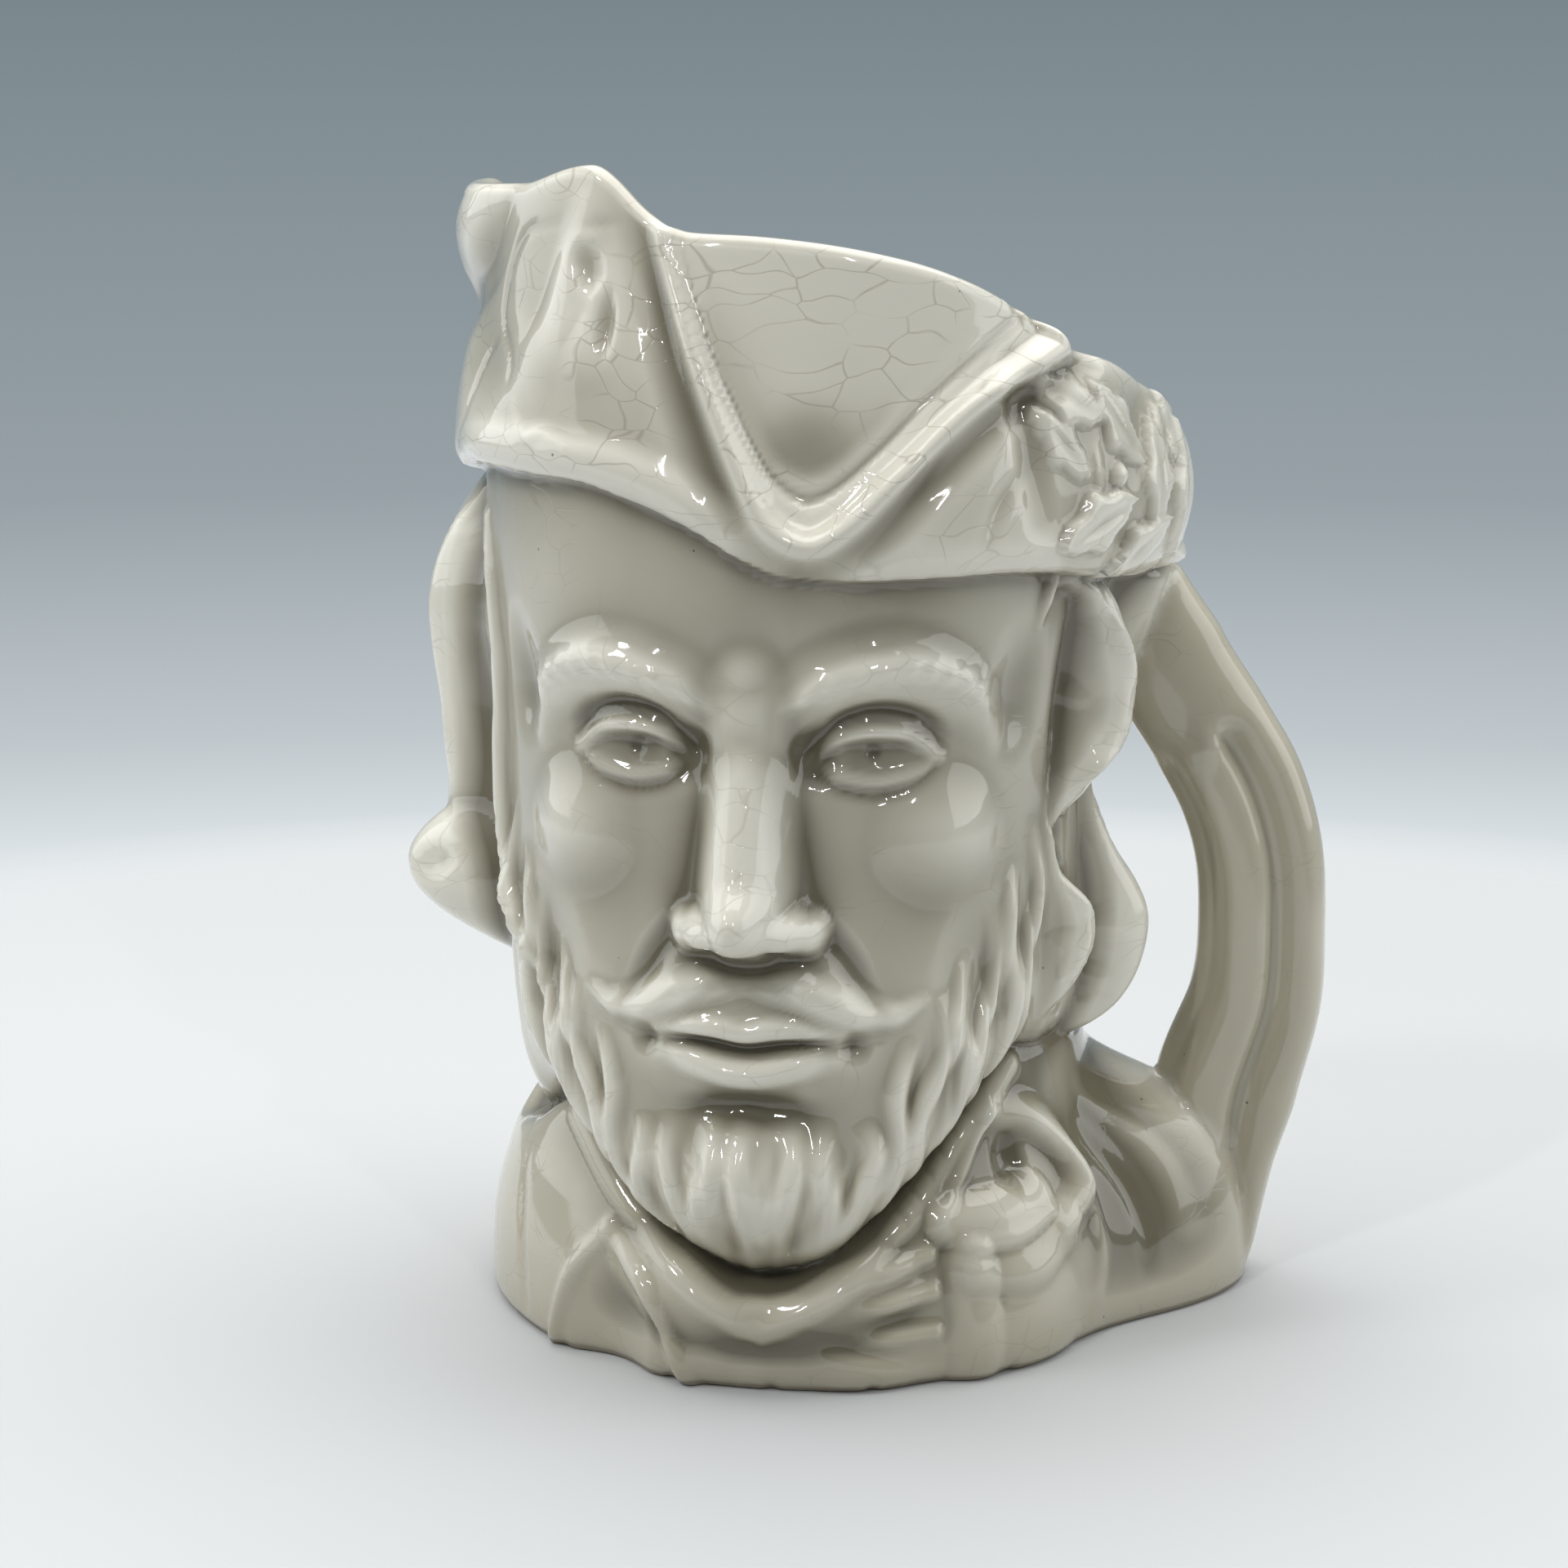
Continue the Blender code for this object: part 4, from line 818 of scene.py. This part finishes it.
def shell_rings():
    """Turns of the columns, and rings of radius and rise, in units: up the outside, down the inside."""
    turns = column_turns()
    half = LIP_THICKNESS / 2 / UNIT
    top = around(turns, MOUTH_LINE)
    rises = wall_rises(turns, top - half)
    wall = outside(turns, rises)

    def ring(radius, rise):
        return np.broadcast_to(radius, turns.shape), np.broadcast_to(rise, turns.shape)

    foot = wall[:, 0]
    inside = foot - FOOT_RING_WIDTH / UNIT
    recess = FOOT_RECESS / UNIT
    rings = [ring(foot * share, recess) for share in (0, 0.3, 0.6)]
    rings += [ring(inside - recess, recess), ring(inside, 0)]
    rings += [ring(foot - inset, rise) for inset, rise in FOOT_ROUNDING]
    rises[:, 0] = FOOT_TOP
    rings += [ring(wall[:, k], rises[:, k]) for k in range(WALL_ROWS)]
    for k in range(1, LIP_ROWS + 1):
        swing = math.pi * k / (LIP_ROWS + 1)
        rings.append(ring(wall[:, -1] - half * (1 - math.cos(swing)), top - half + half * math.sin(swing)))
    floor = FLOOR_THICKNESS / UNIT
    levels = np.linspace(floor, JUG_HEIGHT / UNIT, INNER_LEVELS)
    inner = inner_radius(turns, levels)
    lip = wall[:, -1] - 2 * half
    for k in range(INNER_ROWS):
        share = k / (INNER_ROWS - 1)
        rise = (top - half) * (1 - share) + (floor + 3) * share
        within = np.array([np.interp(r, levels, row) for r, row in zip(rise, inner)])
        near_lip = soft_step((top - half) - rise, 0, 9)
        rings.append(ring(lip * (1 - near_lip) + within * near_lip, rise))
    last = rings[-1][0]
    rings += [ring(last - 1.0, floor + 1.0), ring(last - 3.4, floor)]
    rings += [ring(last * share, floor) for share in (0.6, 0.3, 0)]
    return turns, rings


def roll_slab(name, places):
    """A slab of clay whose corners take the places given, row by row, rolled until its ends meet."""
    rows, columns = places.shape[:2]
    bpy.ops.object.select_all(action="DESELECT")
    bpy.ops.mesh.primitive_grid_add(x_subdivisions=columns, y_subdivisions=rows - 1, size=1)
    slab = bpy.context.object
    slab.name = name
    slab.data.name = name
    flat = np.empty(len(slab.data.vertices) * 3)
    slab.data.vertices.foreach_get("co", flat)
    flat = flat.reshape(-1, 3)
    column = np.rint((flat[:, 0] + 0.5) * columns).astype(int) % columns
    row = np.rint((flat[:, 1] + 0.5) * (rows - 1)).astype(int)
    slab.data.vertices.foreach_set("co", places[row, column].reshape(-1))
    slab.data.update()
    bpy.ops.object.mode_set(mode="EDIT")
    bpy.ops.mesh.select_all(action="SELECT")
    bpy.ops.mesh.remove_doubles(threshold=SEAM)
    bpy.ops.mesh.normals_make_consistent(inside=False)
    bpy.ops.object.mode_set(mode="OBJECT")
    return slab


def shell_places(turns, rings):
    angle = np.radians(turns)
    return np.array([
        np.stack([radius * np.sin(angle), -radius * np.cos(angle), rise], 1) * UNIT for radius, rise in rings
    ])


def handle_places():
    turn = math.radians(HANDLE_TURN)
    outward = np.array([math.sin(turn), -math.cos(turn), 0])
    sideways = np.array([math.cos(turn), math.sin(turn), 0])
    up = np.array([0, 0, 1])
    rows = [outward * r[:, None] + up * z[:, None] + sideways * t[:, None] for r, z, t in handle_rings()]
    ends = [np.repeat(row.mean(0)[None], HANDLE_SIDES, 0) for row in (rows[0], rows[-1])]
    return np.array([ends[0]] + rows + [ends[1]]) * UNIT


def places_of(piece):
    found = np.empty(len(piece.data.vertices) * 3)
    piece.data.vertices.foreach_get("co", found)
    return found.reshape(-1, 3)


def tree_of(places):
    """A tree that finds the nearest of these places."""
    tree = KDTree(len(places))
    for k, place in enumerate(places):
        tree.insert(place, k)
    tree.balance()
    return tree


def join_handle(jug, handle):
    """Presses the handle onto the wall and smooths the seam, as slip does."""
    before = tree_of(np.vstack([places_of(jug), places_of(handle)]))
    bpy.ops.object.select_all(action="DESELECT")
    bpy.context.view_layer.objects.active = jug
    jug.select_set(True)
    bpy.ops.object.modifier_add(type="BOOLEAN")
    union = jug.modifiers[-1]
    union.operation = "UNION"
    union.solver = "EXACT"
    union.object = handle
    bpy.ops.object.modifier_apply(modifier=union.name)
    bpy.data.objects.remove(handle)
    places = places_of(jug)
    line = tree_of([place for place in places if before.find(place)[2] > SEAM])
    near = [line.find(place)[2] < SLIP_REACH for place in places]
    bpy.ops.object.mode_set(mode="EDIT")
    bpy.ops.mesh.select_mode(type="VERT")
    bpy.ops.mesh.select_all(action="DESELECT")
    bpy.ops.object.mode_set(mode="OBJECT")
    jug.data.vertices.foreach_set("select", near)
    bpy.ops.object.mode_set(mode="EDIT")
    bpy.ops.mesh.vertices_smooth(factor=0.5, repeat=8)
    bpy.ops.object.mode_set(mode="OBJECT")


# Hollows where the glaze gathers and painted shade goes, from narrow to wide: smoothing passes and weight
POOL_AND_SHADE_SIZES = [(14, 0.9), (60, 0.55), (260, 0.3)]


def glaze_depth_and_painted_light(turns, rings):
    """How far each point of the shell lies in a hollow, where the glaze gathers thick and painted shade
    darkens it. It is minus on an edge, where the glaze runs thinner and a painted highlight brightens it.
    """
    radius = np.array([r for r, _ in rings]).T
    rise = np.array([z for _, z in rings]).T
    found = np.zeros(radius.shape)
    for passes, weight in POOL_AND_SHADE_SIZES:
        level = radius
        for _ in range(passes):
            level = column_average(ring_average(level, 1))
        found += weight * (level - radius)
    wall = slice(FOOT_ROWS, FOOT_ROWS + WALL_ROWS)
    found[:, wall] += placed_glaze_and_painted_light(Surface(turns, rise[:, wall]))
    return found


def paint(jug, turns, rings, places):
    """Stores the glaze's depth, with its painted shade and highlights, and the handle's share on the jug's
    points, for its material.
    """
    depth = glaze_depth_and_painted_light(turns, rings).T.reshape(-1)
    tree = tree_of(places.reshape(-1, 3))
    now = places_of(jug)
    pooled = np.zeros(len(now))
    handle = np.zeros(len(now))
    for k, place in enumerate(now):
        _, index, away = tree.find(place)
        handle[k] = min(away / HANDLE_CLEAR, 1)
        pooled[k] = depth[index] * (1 - handle[k])
    for name, found in (("pooled", pooled), ("handle", handle)):
        layer = jug.data.attributes.new(name, "FLOAT", "POINT")
        layer.data.foreach_set("value", found)


# Glaze

class Value:
    """A value in a node tree. Arithmetic on it adds Math nodes."""

    def __init__(self, nodes, socket):
        self.nodes = nodes
        self.socket = socket

    def _math(self, operation, first, second):
        return self.nodes.node("ShaderNodeMath", {"operation": operation}, {0: first, 1: second})

    def __add__(self, other):
        return self._math("ADD", self, other)

    def __sub__(self, other):
        return self._math("SUBTRACT", self, other)

    def __rsub__(self, other):
        return self._math("SUBTRACT", other, self)

    def __mul__(self, other):
        return self._math("MULTIPLY", self, other)

    def __truediv__(self, other):
        return self._math("DIVIDE", self, other)

    def __lt__(self, other):
        return self._math("LESS_THAN", self, other)

    __radd__ = __add__
    __rmul__ = __mul__

    def held(self):
        """The value kept between 0 and 1."""
        return self.nodes.node("ShaderNodeClamp", {}, {0: self})


class Nodes:
    """The node tree of a material or of the world, under construction."""

    def __init__(self, owner):
        owner.use_nodes = True
        self.tree = owner.node_tree

    def set(self, socket, value):
        if isinstance(value, Value):
            self.tree.links.new(value.socket, socket)
        else:
            socket.default_value = value

    def node(self, kind, settings, sockets, out=0):
        node = self.tree.nodes.new(kind)
        for name, value in settings.items():
            if name == "stops":
                while len(node.color_ramp.elements) < len(value):
                    node.color_ramp.elements.new(0.5)
                for element, (position, colour) in zip(node.color_ramp.elements, value):
                    element.position = position
                    element.color = colour
            else:
                setattr(node, name, value)
        for key, value in sockets.items():
            self.set(node.inputs[key], value)
        return Value(self, node.outputs[out])

    def mix(self, share, first, second):
        return self.node("ShaderNodeMix", {"data_type": "RGBA"}, {0: share, 6: first, 7: second}, 2)

    def noise(self, place, scale, detail, roughness=0.5, out=0):
        sockets = {"Vector": place, "Scale": scale, "Detail": detail, "Roughness": roughness}
        return self.node("ShaderNodeTexNoise", {}, sockets, out)

    def cells(self, place, spacing, **settings):
        """Distance in a pattern of cells, which are this far apart in metres."""
        sockets = {"Vector": place, "Scale": 1 / spacing}
        return self.node("ShaderNodeTexVoronoi", settings, sockets, "Distance")

    def vectors(self, operation, *values, out=0):
        return self.node("ShaderNodeVectorMath", {"operation": operation}, dict(enumerate(values)), out)


class Finish(Nodes):
    """A material under construction, with its main shader."""

    def __init__(self, name):
        self.material = bpy.data.materials.new(name)
        super().__init__(self.material)
        self.shader = self.tree.nodes["Principled BSDF"]


LIGHT_GLAZE = (0.515, 0.484, 0.392, 1)
# Paler glaze on edges, where it runs thinner, and a painted highlight there
EDGE_GLAZE_AND_HIGHLIGHT = (0.78, 0.75, 0.65, 1)
# Darker olive glaze gathered in hollows, and painted shade there
POOLED_GLAZE_AND_SHADE = (0.17, 0.153, 0.105, 1)
HANDLE_GLAZE = (0.52, 0.477, 0.365, 1)
CRAZE_COLOUR = (0.26, 0.215, 0.15, 1)
SPECK_COLOUR = (0.07, 0.06, 0.05, 1)
BARE_CLAY = (0.36, 0.31, 0.235, 1)


CRAZE_SIZE = 7 * UNIT  # size of the craze cells
CRAZE_WIDTH = 0.03  # width of a craze line, as a share of a cell
CRAZE_DRAWN = (0.75, 0.75, 1.6)  # below 1 sideways, which draws the cells out that way
CRAZE_BEND = (0.011, 0.011, 0.011)  # metres that noise bends the lines
SPECK_SPACING = 11 * UNIT
SPECK_WIDTH = 0.022  # radius of a speck, as a share of their spacing
PAINTED_SHADE_TOP = 60 * UNIT  # painted shade: the glaze is darkened from here down
BARE_RISE = 0.75 * UNIT  # the clay is bare below about this rise
BARE_EDGE = 0.25 * UNIT  # width of the glaze's edge there


def ivory_glaze():
    """Thick ivory glaze: darker where it gathers in hollows, with painted shade there and towards the bottom;
    paler on edges, where the glaze runs thinner, with a painted highlight there; with craze lines and a few
    specks.
    """
    glaze = Finish("ivory_glaze")
    place = glaze.node("ShaderNodeTexCoord", {}, {}, "Object")
    pooled = glaze.node("ShaderNodeAttribute", {"attribute_name": "pooled"}, {}, "Fac")
    handle = glaze.node("ShaderNodeAttribute", {"attribute_name": "handle"}, {}, "Fac")
    rise = glaze.node("ShaderNodeSeparateXYZ", {}, {0: place}, "Z")
    cloud = glaze.noise(place, 28.0, 3.0, roughness=0.6)
    mottle = glaze.noise(place, 110.0, 4.0)

    # Painted shade: darker and more olive towards the bottom
    low = (1 - rise / PAINTED_SHADE_TOP).held()
    # Painted shade in hollows, on top of the darker glaze gathered there, and towards the bottom; the cloud
    # adds tone at random
    deep = ((pooled * 0.42 + (cloud - 0.5) * 0.3).held() + low * 0.2).held()
    # Paler on edges: thinner glaze and a painted highlight; it fades out towards the foot
    thin_glaze_and_highlight = (pooled * -0.6 + (mottle - 0.5) * 0.2).held() * ((rise - 4 * UNIT) / (30 * UNIT)).held()
    colour = glaze.mix(handle * 0.75, LIGHT_GLAZE, HANDLE_GLAZE)
    colour = glaze.mix((low * 1.2).held(), colour, HANDLE_GLAZE)
    colour = glaze.mix(thin_glaze_and_highlight, colour, EDGE_GLAZE_AND_HIGHLIGHT)
    colour = glaze.mix(deep, colour, POOLED_GLAZE_AND_SHADE)

    bend = glaze.noise(place, 75.0, 1.0, out="Color")
    bent = glaze.vectors("MULTIPLY_ADD", bend, CRAZE_BEND, place)
    drawn = glaze.vectors("MULTIPLY", bent, CRAZE_DRAWN)
    lines = 1 - glaze.cells(drawn, CRAZE_SIZE, feature="DISTANCE_TO_EDGE") / CRAZE_WIDTH
    on_hat = ((rise - 132 * UNIT) / (14 * UNIT)).held()
    where = glaze.noise(place, 85.0, 2.0) - 0.53 + 0.05 * on_hat + (pooled * -0.05).held()
    craze = lines.held() * (where * 7).held()
    colour = glaze.mix(craze * (0.2 + 0.25 * on_hat), colour, CRAZE_COLOUR)

    speck = glaze.cells(place, SPECK_SPACING) < SPECK_WIDTH
    colour = glaze.mix(speck * 0.7, colour, SPECK_COLOUR)

    ragged = glaze.noise(place, 260.0, 2.0) * (1.1 * UNIT)
    bare = ((BARE_RISE + ragged - rise) / BARE_EDGE).held()
    colour = glaze.mix(bare, colour, BARE_CLAY)

    relief = mottle * 0.25 + cloud * 0.6 - craze * 0.06
    bump = glaze.node("ShaderNodeBump", {}, {"Strength": 0.35, "Distance": 0.0008, "Height": relief})
    for socket, value in (
        ("Base Color", colour),
        ("Roughness", 0.05 + 0.05 * mottle + bare * 0.5),
        ("IOR", 1.52),
        ("Coat Roughness", 0.02),
        ("Coat Weight", 0.4 * (1 - bare)),
        ("Normal", bump),
    ):
        glaze.set(glaze.shader.inputs[socket], value)
    return glaze.material


# Studio

FLOOR_COLOUR = (0.562, 0.574, 0.580, 1)
FLOOR_RADIUS = 0.46
FLOOR_FADE = (0.35, 0.40)  # metres from the middle over which the floor melts into the backdrop

CAMERA_TURN = 10.0  # degrees from the face towards the handle
CAMERA_DISTANCE = 0.550  # metres from the jug's axis, level
CAMERA_HEIGHT = 0.200
CAMERA_PITCH = 11.75  # degrees down
CAMERA_YAW = 0.56  # degrees that the axis stands right of the picture's middle
CAMERA_LENS = 76.7


def pale_floor():
    """A white table whose edge melts into the backdrop."""
    bpy.ops.object.select_all(action="DESELECT")
    bpy.ops.mesh.primitive_circle_add(vertices=128, radius=FLOOR_RADIUS, fill_type="NGON")
    floor = bpy.context.object
    floor.name = "table_top"
    table = Finish("table_top")
    place = table.node("ShaderNodeTexCoord", {}, {}, "Object")
    away = table.vectors("LENGTH", place, out="Value")
    fade = ((away - FLOOR_FADE[0]) / (FLOOR_FADE[1] - FLOOR_FADE[0])).held()
    table.set(table.shader.inputs["Base Color"], FLOOR_COLOUR)
    table.set(table.shader.inputs["Roughness"], 0.55)
    clear = table.node("ShaderNodeBsdfTransparent", {}, {})
    shader = Value(table, table.shader.outputs[0])
    both = table.node("ShaderNodeMixShader", {}, {0: fade, 1: shader, 2: clear})
    table.set(table.tree.nodes["Material Output"].inputs["Surface"], both)
    floor.data.materials.append(table.material)


BACKDROP = [  # share up the sphere round the scene, and colour there
    (0.0, (0.80, 0.83, 0.86, 1)),
    (0.385, (0.80, 0.84, 0.87, 1)),
    (0.395, (0.66, 0.71, 0.74, 1)),
    (0.4055, (0.53, 0.58, 0.61, 1)),
    (0.4417, (0.31, 0.356, 0.383, 1)),
    (0.5127, (0.195, 0.246, 0.270, 1)),
    (0.60, (0.21, 0.25, 0.27, 1)),
    (0.80, (0.75, 0.80, 0.82, 1)),
    (1.0, (1.0, 1.0, 1.0, 1)),
]
ROOM = 0.30  # brightness of the room behind the camera, next to the backdrop's


def backdrop():
    """A white table that runs into a blue-grey backdrop. The room behind the camera is darker."""
    world = bpy.data.worlds.new("studio")
    bpy.context.scene.world = world
    room = Nodes(world)
    way = room.node("ShaderNodeTexCoord", {}, {}, "Generated")
    up = room.node("ShaderNodeSeparateXYZ", {}, {0: way}, "Z")
    back = room.node("ShaderNodeSeparateXYZ", {}, {0: way}, "Y")
    colour = room.node("ShaderNodeValToRGB", {"stops": BACKDROP}, {0: up * 0.5 + 0.5})
    behind = (back * 1.6 + 0.8).held()
    background = room.tree.nodes["Background"]
    room.set(background.inputs["Color"], colour)
    room.set(background.inputs["Strength"], behind * (1 - ROOM) + ROOM)


# Lamps: name, place, width and height in metres, power in watts, colour
LAMPS = [
    ("ceiling", (0.0, 0.28, 1.05), 1.3, 1.2, 10.5, (1.0, 0.995, 0.98)),
    ("wall_left", (-0.95, 0.05, 0.40), 0.9, 0.7, 2.2, (0.96, 0.985, 1.0)),
    ("wall_right", (0.95, 0.15, 0.40), 0.8, 0.7, 2.4, (1.0, 1.0, 0.99)),
    ("window", (-0.50, -0.38, 0.78), 0.12, 0.12, 1.6, (1, 1, 1)),
    ("lamp_left", (-0.26, -0.62, 0.60), 0.012, 0.16, 1.0, (1, 1, 1)),
    ("lamp_right", (0.34, -0.60, 0.60), 0.012, 0.12, 0.6, (1, 1, 1)),
]
LAMP_AIM = 0.1  # height on the jug's axis that every lamp is turned to, in metres


def soft_box(name, place, width, height, power, colour, aim):
    bpy.ops.object.light_add(type="AREA", location=place)
    lamp = bpy.context.object
    lamp.name = name
    lamp.data.shape = "RECTANGLE"
    lamp.data.size = width
    lamp.data.size_y = height
    lamp.data.energy = power
    lamp.data.color = colour
    lamp.rotation_euler = (Vector(aim) - Vector(place)).to_track_quat("-Z", "Y").to_euler()


def add_camera(axis):
    turn = math.radians(CAMERA_TURN)
    place = (
        axis.x + math.sin(turn) * CAMERA_DISTANCE,
        axis.y - math.cos(turn) * CAMERA_DISTANCE,
        CAMERA_HEIGHT,
    )
    tilt = (math.radians(90 - CAMERA_PITCH), 0, turn + math.radians(CAMERA_YAW))
    bpy.ops.object.camera_add(location=place, rotation=tilt)
    camera = bpy.context.object
    camera.data.lens = CAMERA_LENS
    camera.data.sensor_width = 36
    bpy.context.scene.camera = camera


# The jug and its studio

def build_jug():
    turns, rings = shell_rings()
    shell = shell_places(turns, rings)
    grip = handle_places()
    low = np.minimum(shell.min((0, 1)), grip.min((0, 1)))
    high = np.maximum(shell.max((0, 1)), grip.max((0, 1)))
    fit = min(1, *(np.array(JUG_HIGH - JUG_LOW) / (high - low)))
    shift = np.array((JUG_LOW + JUG_HIGH) / 2) - fit * (low + high) / 2
    shift[2] = JUG_LOW.z
    shell = fit * shell + shift
    jug = roll_slab("glazed_jug", shell)
    handle = roll_slab("handle", fit * grip + shift)
    join_handle(jug, handle)
    paint(jug, turns, rings, shell)
    jug.data.materials.clear()
    jug.data.materials.append(ivory_glaze())
    jug.data.shade_smooth()
    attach(jug, "root")
    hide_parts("jug")
    return Vector(shift)


axis = build_jug()
pale_floor()
backdrop()
for lamp in LAMPS:
    soft_box(*lamp, aim=(axis.x, axis.y, LAMP_AIM))
add_camera(axis)

bpy.context.scene.view_settings.view_transform = "Standard"
